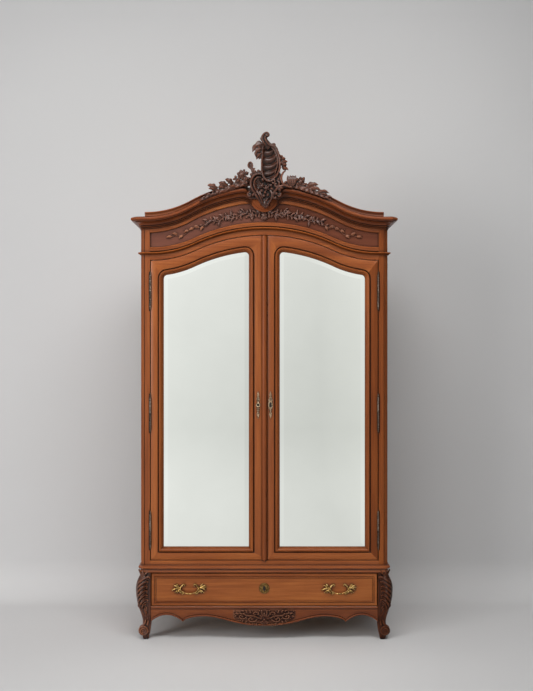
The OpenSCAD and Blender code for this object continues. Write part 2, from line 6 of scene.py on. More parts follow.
import bmesh
import bpy
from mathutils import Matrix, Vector


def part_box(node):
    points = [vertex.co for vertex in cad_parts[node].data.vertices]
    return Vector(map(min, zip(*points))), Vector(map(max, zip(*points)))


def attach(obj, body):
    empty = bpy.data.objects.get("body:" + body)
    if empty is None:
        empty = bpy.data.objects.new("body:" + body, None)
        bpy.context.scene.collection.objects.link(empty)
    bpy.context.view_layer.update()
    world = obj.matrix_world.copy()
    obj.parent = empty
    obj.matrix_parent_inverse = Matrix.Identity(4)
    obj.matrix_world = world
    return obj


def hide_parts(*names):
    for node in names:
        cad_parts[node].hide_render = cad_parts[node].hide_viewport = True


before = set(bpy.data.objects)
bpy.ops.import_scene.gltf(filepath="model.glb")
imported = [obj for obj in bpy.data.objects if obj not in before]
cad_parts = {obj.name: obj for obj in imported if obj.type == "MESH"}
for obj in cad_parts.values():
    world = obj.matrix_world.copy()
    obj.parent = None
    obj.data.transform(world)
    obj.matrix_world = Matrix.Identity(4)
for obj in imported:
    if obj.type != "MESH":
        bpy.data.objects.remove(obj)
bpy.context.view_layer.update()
rng = random.Random(7)

# ---------------------------------------------------------------- anchors from the frame


def box_mm(node):
    """A node's packed box in millimetres."""
    low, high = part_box(node)
    return [c * 1000 for c in low], [c * 1000 for c in high]


post_low, post_high = box_mm("corner_post_right")
FRONT = post_low[1]
HALF = post_high[0]
POST_LIP = 10
POST_IN = post_low[0] + POST_LIP
BASE_TOP = post_low[2]
BACK = box_mm("back_frame")[1][1]
CROWN = box_mm("frieze_panel")[1][2]
header_low, header_high = box_mm("header_rail")
HEADER_LOW, HEADER_TOP = 3, 28
HEAD = header_high[2] - HEADER_TOP
HEAD_RISE = HEAD - (header_low[2] - HEADER_LOW)
CROWN_RISE = CROWN - box_mm("cornice_returns")[0][2]
CUT = 15
HEAD_REACH = 560
CROWN_REACH = 590
CONVEX_SHARE = 0.62


def fall(u, reach, rise):
    """How far a serpentine curve has dropped at u from its crown: convex, then concave."""
    total = (reach * reach + rise * rise) / (2 * rise)
    r1 = CONVEX_SHARE * total
    r2 = total - r1
    if u < r1 * reach / total:
        return r1 - math.sqrt(r1 * r1 - u * u)
    if u < reach:
        return rise - r2 + math.sqrt(r2 * r2 - (reach - u) ** 2)
    return rise


def head(x):
    """Height of the curve over the doors."""
    return HEAD - fall(abs(x), HEAD_REACH, HEAD_RISE)


def crown(x):
    """Height of the curve under the cornice."""
    return CROWN - fall(abs(x), CROWN_REACH, CROWN_RISE)


def spread(a, b, n):
    """n + 1 even steps from a to b."""
    return [a + (b - a) * i / n for i in range(n + 1)]


def circle(n):
    """n angles once round."""
    return spread(0, 2 * math.pi, n)[:-1]


# ---------------------------------------------------------------- materials


def rgb(r, g, b):
    """A display colour from 0 to 255 as the shader's linear colour."""
    return tuple(
        (c / 255 / 12.92) if c / 255 <= 0.04045 else ((c / 255 + 0.055) / 1.055) ** 2.4
        for c in (r, g, b)
    ) + (1.0,)


class Nodes:
    """A material's node tree, with short ways to add and join nodes."""

    def __init__(self, name):
        self.material = bpy.data.materials.new(name)
        self.material.use_nodes = True
        self.tree = self.material.node_tree
        self.shader = self.tree.nodes["Principled BSDF"]

    def add(self, kind, **values):
        """A new node; values are its attributes or, with _ for a space, its inputs."""
        node = self.tree.nodes.new(kind)
        for key, value in values.items():
            if hasattr(node, key):
                setattr(node, key, value)
            else:
                node.inputs[key.replace("_", " ")].default_value = value
        return node

    def finish(self, **values):
        """Sets inputs of the shader."""
        for key, value in values.items():
            self.shader.inputs[key.replace("_", " ")].default_value = value

    def join(self, a, b):
        self.tree.links.new(a, b)

    def feed(self, socket, value):
        """Joins an output to the socket, or sets the socket to a plain value."""
        if isinstance(value, bpy.types.NodeSocket):
            self.join(value, socket)
        else:
            socket.default_value = value

    def coords(self, stretch, turn=(0, 0, 0), shift=(0, 0, 0)):
        """The piece's own coordinates, turned and shifted, then stretched."""
        source = self.add("ShaderNodeTexCoord")
        turned = self.add("ShaderNodeMapping", Rotation=turn, Location=shift)
        self.join(source.outputs["Object"], turned.inputs["Vector"])
        scaled = self.add("ShaderNodeMapping", Scale=stretch)
        self.join(turned.outputs["Vector"], scaled.inputs["Vector"])
        return scaled.outputs["Vector"]

    def noise(self, vector, scale, detail=3.0, rough=0.5, distort=0.0):
        """Cloudy noise from 0 to 1."""
        node = self.add("ShaderNodeTexNoise", Scale=scale, Detail=detail, Roughness=rough,
                        Distortion=distort)
        self.join(vector, node.inputs["Vector"])
        return node.outputs["Fac"]

    def spans(self, value, low, high, to_low=0.0, to_high=1.0):
        """The value's place from low to high, laid out from to_low to to_high."""
        node = self.add("ShaderNodeMapRange")
        for i, number in enumerate((low, high, to_low, to_high)):
            node.inputs[i + 1].default_value = number
        self.join(value, node.inputs[0])
        return node.outputs[0]

    def maths(self, kind, a, b):
        """Two numbers, each a socket or a plain value, added or multiplied."""
        node = self.add("ShaderNodeMath", operation=kind)
        for i, side in enumerate((a, b)):
            self.feed(node.inputs[i], side)
        return node.outputs[0]

    def ramp(self, value, stops):
        """A colour picked by a value from (place, colour) stops."""
        node = self.add("ShaderNodeValToRGB")
        elements = node.color_ramp.elements
        while len(elements) < len(stops):
            elements.new(0.5)
        for element, (place, colour) in zip(elements, stops):
            element.position = place
            element.color = colour
        self.join(value, node.inputs["Fac"])
        return node.outputs["Color"]

    def blend(self, factor, a, b, kind="MIX"):
        """Two colours mixed; 0, 6, 7 and 2 are the colour sockets of the mix node."""
        node = self.add("ShaderNodeMix", data_type="RGBA", blend_type=kind)
        for i, value in ((0, factor), (6, a), (7, b)):
            self.feed(node.inputs[i], value)
        return node.outputs[2]

    def bump(self, height, strength, distance):
        """Relief of a height on the shader's surface."""
        node = self.add("ShaderNodeBump", Strength=strength, Distance=distance)
        self.join(height, node.inputs["Height"])
        self.join(node.outputs["Normal"], self.shader.inputs["Normal"])

    def hollows(self, distance, samples=6):
        """1 in the open, 0 deep in a hollow."""
        node = self.add("ShaderNodeAmbientOcclusion", samples=samples, Distance=distance)
        return node.outputs["AO"]


def shade_of(colour, share):
    """The colour darkened to a share of its light."""
    return tuple(c * share for c in colour[:3]) + (1.0,)


TURNS = {
    "Z": (0, 0, 0),
    "X": (0, math.radians(90), 0),
    "Y": (math.radians(90), 0, 0),
}


# Shares of the figure, the bands and the fibres in the tone of the wood, and how far its
# darkest and lightest colours lie from the middle one.
FIGURE, BANDS, FIBRES = 0.46, 0.32, 0.22
TO_DARK, TO_LIGHT = 0.14, 0.13


def wood(name, grain, dark, mid, light, rough=0.38, coat=0.10, shift=0.0, carved=False,
         contrast=0.7, hollow=0.018, gloss=0.20):
    """Polished wood: figure, bands, fibres and pores along the grain, with painted shade in the
    hollows and ridges lightened for wear and as painted highlight.
    """
    n = Nodes(name)
    place = (shift * 0.37, shift * 0.61, shift)
    turn = TURNS[grain]
    figure = n.noise(n.coords((1, 1, 0.12), turn, place), 7.0, 3.0, 0.55, 0.5)
    bands = n.noise(n.coords((1, 1, 0.04), turn, place), 40.0, 4.0, 0.6, 0.25)
    fibre = n.noise(n.coords((1, 1, 0.02), turn, place), 330.0, 2.0, 0.6)
    pores = n.noise(n.coords((1, 1, 0.05), turn, place), 900.0, 1.0, 0.5)
    mix = n.maths("ADD", n.maths("MULTIPLY", figure, FIGURE * contrast),
                  n.maths("MULTIPLY", bands, BANDS * contrast))
    mix = n.maths("ADD", mix, n.maths("MULTIPLY", fibre, FIBRES))
    middle = ((FIGURE + BANDS) * contrast + FIBRES) / 2
    colour = n.ramp(mix, [(max(0.0, middle - TO_DARK), dark), (middle, mid),
                          (min(1.0, middle + TO_LIGHT), light)])
    specks = n.spans(pores, 0.60, 0.74, 0.0, 0.30)
    colour = n.blend(specks, colour, shade_of(dark, 0.35))
    open_air = n.hollows(hollow, 8 if carved else 5)
    # Pointiness lightens the ridges: wear on the edges, and painted highlight on the carving.
    ridges = n.add("ShaderNodeNewGeometry").outputs["Pointiness"]
    wear_and_painted_highlight = n.spans(ridges, 0.508 if carved else 0.51, 0.555 if carved else 0.60, 0.0,
                   0.7 if carved else 0.25)
    colour = n.blend(wear_and_painted_highlight, colour, light)
    # Painted shade: the colour is blended towards near black in hollows, by ambient occlusion.
    shade = n.spans(open_air, 0.34, 0.97, 0.0, 1.0)
    deep = shade_of(dark, 0.14)
    colour = n.blend(shade, deep, colour)
    if carved:
        # Painted shade in the creases of the carving, found from pointiness.
        colour = n.blend(n.spans(ridges, 0.445, 0.497, 0.0, 1.0), deep, colour)
    n.join(colour, n.shader.inputs["Base Color"])
    n.join(n.spans(bands, 0.3, 0.7, rough - 0.05, rough + 0.09), n.shader.inputs["Roughness"])
    n.finish(Coat_Weight=coat, Coat_Roughness=0.16, IOR=1.5, Specular_IOR_Level=gloss)
    grainy = n.maths("ADD", n.maths("MULTIPLY", fibre, 0.6), n.maths("MULTIPLY", bands, 0.7))
    n.bump(grainy, 0.22, 0.0006)
    return n.material


# Dark, middle and light colour of each tone, and what differs from wood's own finish.
TONES = {
    "walnut": ((101, 45, 16), (137, 70, 28), (168, 95, 41), {"contrast": 0.9}),
    # Walnut darkened as painted shade, for parts on the right-hand side.
    "shaded": ((82, 34, 10), (112, 54, 19), (140, 74, 29),
               {"coat": 0.04, "gloss": 0.12, "contrast": 0.9}),
    "mould": ((78, 32, 11), (122, 58, 21), (156, 84, 34),
              {"rough": 0.32, "coat": 0.40, "hollow": 0.03}),
    # Darker walnut for the mouldings beside the mirrors, as painted shade.
    "sash_painted_shade": ((84, 36, 13), (124, 62, 24), (158, 88, 38),
             {"rough": 0.36, "coat": 0.08, "hollow": 0.03, "gloss": 0.12}),
    "neck": ((101, 45, 16), (137, 70, 28), (168, 95, 41),
             {"rough": 0.46, "coat": 0.0, "hollow": 0.04, "gloss": 0.06}),
    # Redder than walnut, and lightened as painted light against the shadow of the crest.
    "tablet": ((116, 55, 27), (154, 81, 44), (180, 102, 58),
               {"hollow": 0.003, "coat": 0.0, "gloss": 0.1}),
    "reserve": ((28, 12, 7), (60, 28, 18), (172, 114, 84),
                {"rough": 0.3, "coat": 0.02, "carved": True, "hollow": 0.012, "gloss": 0.14}),
    "cornice": ((78, 32, 11), (122, 58, 21), (156, 84, 34),
                {"rough": 0.34, "coat": 0.06, "hollow": 0.05}),
    "frieze": ((66, 31, 21), (99, 54, 39), (130, 78, 60), {"rough": 0.44, "coat": 0.05}),
    # Darker copy of the frieze ground for its right half, as painted shade.
    "frieze_right": ((54, 24, 13), (82, 40, 24), (108, 58, 38),
                     {"rough": 0.44, "coat": 0.03, "gloss": 0.12}),
    "sprig": ((34, 15, 10), (66, 33, 23), (148, 94, 70),
              {"rough": 0.30, "coat": 0.20, "carved": True, "hollow": 0.008, "gloss": 0.3}),
    # Lighter copy of the garland's wood for its outer leaves, as painted light.
    "tips": ((56, 26, 15), (100, 54, 33), (166, 106, 72),
             {"rough": 0.34, "coat": 0.1, "carved": True, "hollow": 0.008}),
    "carved": ((30, 12, 7), (60, 28, 16), (128, 72, 47),
               {"rough": 0.26, "coat": 0.15, "carved": True, "hollow": 0.030, "gloss": 0.3}),
    "knee": ((30, 13, 7), (74, 36, 20), (172, 100, 58),
             {"rough": 0.26, "coat": 0.12, "carved": True, "hollow": 0.022, "gloss": 0.3}),
    # Darker copy of the knee tone for the right leg, as painted shade.
    "knee_right": ((26, 11, 6), (63, 29, 14), (134, 74, 42),
                   {"rough": 0.3, "coat": 0.03, "carved": True, "hollow": 0.022,
                    "gloss": 0.12}),
    "apron": ((70, 28, 11), (106, 50, 21), (136, 74, 35), {"hollow": 0.02}),
    "drawer": ((86, 34, 10), (126, 63, 23), (164, 95, 41), {"contrast": 0.95}),
    "oak": ((118, 82, 48), (158, 118, 76), (186, 148, 102), {"rough": 0.6, "coat": 0.0}),
}
_woods = {}


def walnut(grain, shift=0.0, tone="walnut"):
    """The wood of a tone with its grain along an axis; shift moves it on to another part."""
    key = (grain, round(shift, 3), tone)
    if key not in _woods:
        *colours, finish = TONES[tone]
        _woods[key] = wood(f"{tone}_{grain}_{len(_woods)}", grain,
                           *(rgb(*colour) for colour in colours), shift=shift, **finish)
    return _woods[key]


def metal(name, dark, mid, light, rough, patina=0.5):
    """Aged metal: cloudy, and tarnished in its hollows."""
    n = Nodes(name)
    dark, mid, light = rgb(*dark), rgb(*mid), rgb(*light)
    cloud = n.noise(n.coords((1, 1, 1)), 140.0, 4.0, 0.6)
    fine = n.noise(n.coords((1, 1, 1)), 900.0, 2.0, 0.5)
    colour = n.ramp(cloud, [(0.32, dark), (0.5, mid), (0.68, light)])
    open_air = n.hollows(0.006, 6)
    colour = n.blend(n.spans(open_air, 0.3, 0.3 + patina, 0.0, 1.0), shade_of(dark, 0.25),
                     colour)
    n.join(colour, n.shader.inputs["Base Color"])
    n.finish(Metallic=1.0)
    n.join(n.spans(cloud, 0.3, 0.7, rough - 0.07, rough + 0.12), n.shader.inputs["Roughness"])
    n.bump(fine, 0.25, 0.0003)
    return n.material


BRASS = metal("brass_aged", (98, 72, 36), (160, 124, 70), (216, 180, 120), 0.28, 0.62)
PALE_BRASS = metal("brass_pale", (150, 124, 92), (206, 180, 146), (238, 218, 188), 0.26)
DULL_BRASS = metal("brass_dull", (66, 48, 26), (108, 82, 46), (156, 124, 76), 0.38)
IRON = metal("iron_dark", (34, 29, 26), (62, 52, 44), (96, 80, 64), 0.42)
PINS = metal("hinge_steel", (46, 38, 34), (92, 80, 72), (148, 134, 122), 0.32)
KEY_BRASS = metal("brass_grey", (92, 74, 58), (150, 126, 102), (208, 184, 154), 0.32, 0.62)


def cloudy(name, scale, detail, rough, low, high):
    """A material whose colour drifts between two, and the noise that drives it."""
    n = Nodes(name)
    cloud = n.noise(n.coords((1, 1, 1)), scale, detail, rough)
    n.join(n.ramp(cloud, [(0.3, low), (0.7, high)]), n.shader.inputs["Base Color"])
    return n, cloud


def silvered():
    """Mirror glass, a little hazy."""
    n, haze = cloudy("silvered_glass", 3.0, 3.0, 0.6, (0.90, 0.905, 0.885, 1),
                     (0.935, 0.94, 0.92, 1))
    n.finish(Metallic=1.0)
    n.join(n.spans(haze, 0.3, 0.7, 0.012, 0.03), n.shader.inputs["Roughness"])
    return n.material


def keyhole_painted_shade():
    """Near-black painted shade standing for the inside of a keyhole."""
    n, _ = cloudy("keyhole_painted_shade", 500.0, 2.0, 0.5, (0.004, 0.003, 0.003, 1),
                  (0.012, 0.010, 0.008, 1))
    n.finish(Roughness=0.9)
    return n.material


MIRROR = silvered()
PAINTED_HOLE_SHADE = keyhole_painted_shade()

# ---------------------------------------------------------------- shapes


class Shape:
    """Points and faces in millimetres, gathered from several closed forms."""

    def __init__(self):
        self.verts = []
        self.faces = []
        self.kinds = []

    def add(self, verts, faces, kind=0):
        """Takes in one form; kind is the place of its material in the piece's list."""
        start = len(self.verts)
        self.verts += [tuple(v) for v in verts]
        self.faces += [tuple(i + start for i in face) for face in faces]
        self.kinds += [kind] * len(faces)

    def grid(self, rows, caps=True, kind=0):
        """A skin over closed rings of equally many points, with its two ends closed."""
        across = len(rows[0])
        down = len(rows)
        faces = []
        for i in range(down - 1):
            for j in range(across):
                k = (j + 1) % across
                faces.append((i * across + j, i * across + k, (i + 1) * across + k,
                              (i + 1) * across + j))
        if caps:
            faces.append(tuple(range(across)))
            faces.append(tuple((down - 1) * across + j for j in reversed(range(across))))
        self.add([p for row in rows for p in row], faces, kind)

    def block(self, low, high):
        """A box between two corners."""
        (x0, y0, z0), (x1, y1, z1) = low, high
        ring = [(x0, y0), (x1, y0), (x1, y1), (x0, y1)]
        self.grid([[(x, y, z0) for x, y in ring], [(x, y, z1) for x, y in ring]])

    def lathe(self, centre, axis, outline, around=24):
        """Turns (radius, distance) pairs about an axis through centre."""
        axis = Vector(axis).normalized()
        side = axis.orthogonal().normalized()
        other = axis.cross(side)
        rows = []
        for radius, along in outline:
            radius = max(radius, 0.02)
            rows.append([Vector(centre) + axis * along
                         + (side * math.cos(a) + other * math.sin(a)) * radius
                         for a in circle(around)])
        self.grid(rows)

    def mirrored(self, both=False):
        """The left-hand copy, or this shape together with that copy."""
        out = Shape()
        if both:
            out.add(self.verts, self.faces)
            out.kinds = list(self.kinds)
        flipped = [(-x, y, z) for x, y, z in self.verts]
        start = len(out.verts)
        out.verts += flipped
        out.faces += [tuple(i + start for i in reversed(face)) for face in self.faces]
        out.kinds += self.kinds
        return out


def soften(obj, width):
    """Rounds the sharp edges of an object by a bevel of a width in millimetres."""
    mod = obj.modifiers.new("bevel", "BEVEL")
    mod.width = width / 1000
    mod.segments = 2
    mod.limit_method = "ANGLE"
    mod.angle_limit = math.radians(40)


def piece(name, shape, materials, body, stands_for=(), crease=32.0, voxel=0.0, relax=0):
    """Makes a Blender object from a shape and ties it to the frame."""
    mesh = bpy.data.meshes.new(name)
    mesh.from_pydata([(x / 1000, y / 1000, z / 1000) for x, y, z in shape.verts], [],
                     shape.faces)
    materials = materials if isinstance(materials, (list, tuple)) else [materials]
    for material in materials:
        mesh.materials.append(material)
    mesh.polygons.foreach_set("material_index", shape.kinds)
    obj = bpy.data.objects.new(name, mesh)
    bpy.context.scene.collection.objects.link(obj)
    tidy(mesh, crease)
    if voxel:
        mod = obj.modifiers.new("remesh", "REMESH")
        mod.mode = "VOXEL"
        mod.voxel_size = voxel / 1000
        if relax:
            soft = obj.modifiers.new("relax", "SMOOTH")
            soft.factor = 0.5
            soft.iterations = relax
        graph = bpy.context.evaluated_depsgraph_get()
        solid = bpy.data.meshes.new_from_object(obj.evaluated_get(graph))
        obj.modifiers.clear()
        obj.data = solid
        bpy.data.meshes.remove(mesh)
        solid.name = name
        if not solid.materials:
            solid.materials.append(materials[0])
        solid.polygons.foreach_set("use_smooth", [True] * len(solid.polygons))
    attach(obj, body)
    if stands_for:
        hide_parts(*stands_for)
    return obj


def tidy(mesh, crease):
    """Welds repeated points, drops empty faces, turns faces outwards and marks creases."""
    bm = bmesh.new()
    bm.from_mesh(mesh)
    bmesh.ops.remove_doubles(bm, verts=bm.verts, dist=2e-6)
    bmesh.ops.dissolve_degenerate(bm, edges=bm.edges, dist=1e-7)
    bmesh.ops.recalc_face_normals(bm, faces=bm.faces)
    limit = math.radians(crease)
    for edge in bm.edges:
        edge.smooth = len(edge.link_faces) == 2 and edge.calc_face_angle(0.0) < limit
    for face in bm.faces:
        face.smooth = True
    bm.to_mesh(mesh)
    bm.free()


SOCKET_DEEP = 6


def open_socket(obj, x0, x1, y0, y1, z, way):
    """Cuts a square hole with short walls in the lower (way -1) or upper (1) face of a piece."""
    bm = bmesh.new()
    bm.from_mesh(obj.data)
    x0, x1, y0, y1, z = (v / 1000 for v in (x0, x1, y0, y1, z))

    def facing_faces():
        return [f for f in bm.faces if f.normal.z * way > 0.8
                and abs(f.calc_center_median().z - z) < 0.15]

    for place, normal in (((x0, 0, 0), (1, 0, 0)), ((x1, 0, 0), (1, 0, 0)),
                          ((0, y0, 0), (0, 1, 0)), ((0, y1, 0), (0, 1, 0))):
        # Kept in order, because the order of a set would differ from run to run.
        geom = dict.fromkeys(facing_faces())
        for face in list(geom):
            geom.update(dict.fromkeys([*face.edges, *face.verts]))
        bmesh.ops.bisect_plane(bm, geom=list(geom), plane_co=place, plane_no=normal)
    inside = []
    for face in facing_faces():
        c = face.calc_center_median()
        if x0 < c.x < x1 and y0 < c.y < y1:
            inside.append(face)
    moved = bmesh.ops.extrude_face_region(bm, geom=inside)["geom"]
    for vert in [v for v in moved if isinstance(v, bmesh.types.BMVert)]:
        vert.co.z -= SOCKET_DEEP / 1000 * way
    ends = inside + [f for f in moved if isinstance(f, bmesh.types.BMFace)]
    bmesh.ops.delete(bm, geom=[f for f in ends if f.is_valid], context="FACES_ONLY")
    bm.to_mesh(obj.data)
    bm.free()


def dress(node, material, bevel):
    """Gives a carried-over CAD node its material and softened edges."""
    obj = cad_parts[node]
    if not obj.material_slots:
        obj.data.materials.append(None)
    for place in obj.material_slots:
        place.link = "OBJECT"
        place.material = material
    weld = obj.modifiers.new("weld", "WELD")
    weld.merge_threshold = 0.00004
    soften(obj, bevel)


# Mouldings wrapped round the carcass: the mitres at the corners match the frame's plan.
CORNER_SHARE = 0.66
SIDE_SHARE = 0.92
CUT_SHARE = 0.74


def stations(base, inner=None, side=0, step=20):
    """Places along the front and the returns: x, y, height and the way outwards.

    With inner, only the half on that side, from inner outwards.
    """
    run = HALF - CUT
    first, last = -run + 6, run - 6
    samples = int(2 * run / step) if inner is None else int((run - inner) / step)
    if side > 0:
        first = inner
    elif side < 0:
        last = -inner
    front = [(x, FRONT, base(x), 0.0, -1.0) for x in spread(first, last, samples)]
    low = base(HALF)
    left = [(-HALF, BACK, low, -SIDE_SHARE, 0.0),
            (-HALF, FRONT + CUT, low, -SIDE_SHARE, -CUT_SHARE),
            (-run, FRONT, low, -CORNER_SHARE, -1.0)]
    right = [(run, FRONT, low, CORNER_SHARE, -1.0),
             (HALF, FRONT + CUT, low, SIDE_SHARE, -CUT_SHARE),
             (HALF, BACK, low, SIDE_SHARE, 0.0)]
    if side <= 0:
        front = left + front
    if side >= 0:
        front = front + right
    return front


def wrap(shape, profile, places):
    """A moulding along places: profile points are (way outwards, lift)."""
    shape.grid([[(x + mx * p, y + my * p, z + h) for p, h in profile]
                for x, y, z, mx, my in places])


def flat_band(shape, curve, xs, profile):
    """A band across the opening: profile points are (depth behind the front, lift)."""
    shape.grid([[(x, FRONT + y, curve(x) + h) for y, h in profile] for x in xs])


# ---------------------------------------------------------------- carving tools


def smooth_path(points, count):
    """Points spaced along a smooth curve through the given ones."""
    pts = [Vector(p) for p in points]
    if len(pts) == 2:
        return [pts[0].lerp(pts[1], i / (count - 1)) for i in range(count)]
    ends = [2 * pts[0] - pts[1]] + pts + [2 * pts[-1] - pts[-2]]
    out = []
    for i in range(count):
        t = i / (count - 1) * (len(pts) - 1)
        k = min(int(t), len(pts) - 2)
        f = t - k
        a, b, c, d = ends[k:k + 4]
        out.append(0.5 * (2 * b + (c - a) * f + (2 * a - 5 * b + 4 * c - d) * f * f
                          + (3 * b - a - 3 * c + d) * f ** 3))
    return out


def between(values, t):
    """The value at t, from 0 to 1, along a short list of numbers."""
    if len(values) == 1:
        return values[0]
    t = min(max(t, 0.0), 1.0) * (len(values) - 1)
    k = min(int(t), len(values) - 2)
    return values[k] + (values[k + 1] - values[k]) * (t - k)


FACING = Vector((0, -1, 0))


def frames_along(path, facing):
    """Each point of a path with its tangent, its side and its way out."""
    out = []
    for i, p in enumerate(path):
        tangent = (path[min(i + 1, len(path) - 1)] - path[max(i - 1, 0)]).normalized()
        side = tangent.cross(facing)
        side = side.normalized() if side.length > 1e-4 else Vector((1, 0, 0))
        out.append((p, tangent, side, side.cross(tangent).normalized()))
    return out


def stroke(shape, points, radii, deep=1.0, facing=FACING, count=0, around=10):
    """A rounded stem that follows points; radii are spread along it."""
    count = count or max(8, 6 * len(points))
    rows = []
    path = smooth_path(points, count)
    for i, (p, _, side, out) in enumerate(frames_along(path, facing)):
        r = max(between(radii, i / (count - 1)), 0.15)
        rows.append([p + side * (r * math.cos(a)) + out * (r * deep * math.sin(a))
                     for a in circle(around)])
    shape.grid(rows)


# Places of a leaf's points across it, and how deep the gaps between its lobes cut in.
ACROSS = [-1, -0.82, -0.6, -0.38, -0.16, 0, 0.16, 0.38, 0.6, 0.82, 1]
LOBE_CUT = 0.42


def leaf(shape, points, width, lift=4.0, lobes=0, thick=2.5, facing=FACING, blunt=0.6,
         curl=0.0, ribs=True):
    """A carved leaf along points: midrib, lobed edge, furrows and a thick underside."""
    count = max(14, 6 * max(lobes, 2))
    path = smooth_path(points, count)
    rows = []
    for i, (p, tangent, side, out) in enumerate(frames_along(path, facing)):
        t = i / (count - 1)
        body = math.sin(math.pi * min(1.0, t ** blunt)) ** 0.7 if 0 < t < 1 else 0.0
        w = width * max(body, 0.03)
        if lobes:
            wave = abs(math.sin(math.pi * (lobes * t + 0.15)))
            w *= 1 - LOBE_CUT * (1 - wave)
        row = []
        for v in ACROSS:
            h = lift * (1 - 0.75 * v * v) * (0.35 + 0.65 * body)
            h += 0.45 * lift * math.exp(-((v / 0.14) ** 2)) * (1 - t)
            if lobes and ribs:
                h += 0.30 * lift * math.cos(2 * math.pi * (lobes * t + 0.5 * abs(v))) * abs(v)
            elif ribs:
                h -= 0.22 * lift * math.exp(-(((abs(v) - 0.3) / 0.15) ** 2))
            h += curl * t * t
            row.append(p + side * (v * w) + out * h - tangent * (abs(v) * w * 0.25))
        under = [p + side * (v * w * 0.9) - out * (thick - curl * t * t)
                 - tangent * (abs(v) * w * 0.25) for v in reversed(ACROSS)]
        rows.append(row + under)
    shape.grid(rows)


def ball(shape, centre, r, deep=1.0, tall=1.0):
    """A ball, flattened by deep and stretched by tall."""
    rows = []
    for i in range(9):
        a = math.pi * i / 8
        ring = max(math.sin(a), 0.02)
        rows.append([(centre[0] + r * ring * math.cos(b), centre[1] + r * deep * ring
                      * math.sin(b), centre[2] + r * tall * math.cos(a)) for b in circle(14)])
    shape.grid(rows)


def flower(shape, centre, r, petals=5, turn=0.0, deep=0.5, rise=3.0):
    """An open flower: cupped petals round a beaded heart."""
    c = Vector(centre)
    side = FACING.cross(Vector((0, 0, 1))).normalized()
    up = side.cross(FACING)
    for ring, (size, lift) in enumerate(((1.0, 0.0), (0.62, rise))):
        for i in range(petals):
            a = turn + 2 * math.pi * (i + 0.5 * ring) / petals
            way = side * math.cos(a) + up * math.sin(a)
            start = c + way * (0.15 * r * size) + FACING * lift
            end = c + way * (r * size) + FACING * (lift + 0.22 * r * size)
            mid = c + way * (0.62 * r * size) + FACING * (lift + 0.05 * r)
            leaf(shape, [start, mid, end], 0.42 * r * size, lift=deep * 0.28 * r, thick=0.1 * r,
                 blunt=1.25, ribs=False)
    ball(shape, c + FACING * (rise + 0.18 * r), 0.24 * r)


def scroll(centre, start_r, end_r, start_deg, turns, count=26, y=0.0, rise=0.0):
    """Points of a flat spiral in the front plane."""
    pts = []
    for i in range(count):
        t = i / (count - 1)
        a = math.radians(start_deg) + 2 * math.pi * turns * t
        r = start_r * (end_r / start_r) ** t
        pts.append((centre[0] + r * math.cos(a), y - rise * t, centre[1] + r * math.sin(a)))
    return pts


# ---------------------------------------------------------------- camera, floor and light

VIEW_FROM = 4.80
EYE = 1.472
camera_data = bpy.data.cameras.new("camera")
camera_data.lens = 50
camera_data.sensor_fit = "VERTICAL"
camera_data.sensor_height = 36
camera_data.shift_x = 0.0032
camera = bpy.data.objects.new("camera", camera_data)
camera.location = (0.0, FRONT / 1000 - VIEW_FROM, EYE)
camera.rotation_euler = (math.radians(90), 0, 0)
bpy.context.scene.collection.objects.link(camera)
bpy.context.scene.camera = camera

WALL_Y = 0.62
WIDE = 7.0


def quarter(y, z, r, way):
    """A quarter circle that leaves the floor at y and z and turns up; way is -1 or 1 in y."""
    return [(y + way * r * math.sin(a), z + r - r * math.cos(a))
            for a in spread(0, math.pi / 2, 12)[1:]]


def sheet(name, profile, material, back=False):
    """A piece of the studio: a profile of y and z drawn out across it."""
    far = len(profile)
    faces = [(i, i + 1, far + i + 1, far + i) for i in range(far - 1)]
    mesh = bpy.data.meshes.new(name)
    mesh.from_pydata([(x, y, z) for x in (-WIDE, WIDE) for y, z in profile], [],
                     [face[::-1] for face in faces] if back else faces)
    mesh.materials.append(material)
    mesh.polygons.foreach_set("use_smooth", [True] * len(mesh.polygons))
    obj = bpy.data.objects.new(name, mesh)
    bpy.context.scene.collection.objects.link(obj)
    return obj


def paper(name, low, high):
    """Matt paper that can't be seen from behind."""
    n, _ = cloudy(name, 0.5, 2.0, 0.5, low, high)
    n.finish(Roughness=0.75, Specular_IOR_Level=0.2)
    clear = n.add("ShaderNodeBsdfTransparent")
    mix = n.add("ShaderNodeMixShader")
    behind = n.add("ShaderNodeNewGeometry").outputs["Backfacing"]
    out = n.tree.nodes["Material Output"]
    n.join(behind, mix.inputs[0])
    n.join(n.shader.outputs[0], mix.inputs[1])
    n.join(clear.outputs[0], mix.inputs[2])
    n.join(mix.outputs[0], out.inputs["Surface"])
    return n.material


COVE = 0.22
sheet("studio_cove", [(-9.0, 0.0), (WALL_Y - COVE, 0.0)] + quarter(WALL_Y - COVE, 0, COVE, 1)
      + [(WALL_Y, 6.0)],
      paper("studio_paper", (0.56, 0.56, 0.565, 1), (0.60, 0.60, 0.605, 1)), back=True)


def area_light(name, place, target, size, power, colour, cone=math.pi):
    """A rectangular lamp that looks from place at target."""
    data = bpy.data.lights.new(name, "AREA")
    data.shape = "RECTANGLE"
    data.size, data.size_y = size
    data.energy = power
    data.color = colour
    data.spread = cone
    obj = bpy.data.objects.new(name, data)
    obj.location = place
    obj.rotation_euler = (Vector(target) - Vector(place)).to_track_quat("-Z", "Y").to_euler()
    bpy.context.scene.collection.objects.link(obj)


area_light("key", (-4.0, -4.0, 2.3), (0, 0, 1.3), (2.0, 2.6), 140, (1.0, 0.99, 0.975))
area_light("fill", (3.4, -5.0, 2.4), (0, 0, 1.1), (3.0, 3.0), 5, (0.96, 0.98, 1.0))
area_light("top", (0.3, -2.3, 4.4), (0.1, -0.3, 1.2), (3.2, 1.6), 46, (1.0, 0.99, 0.97),
           math.radians(110))


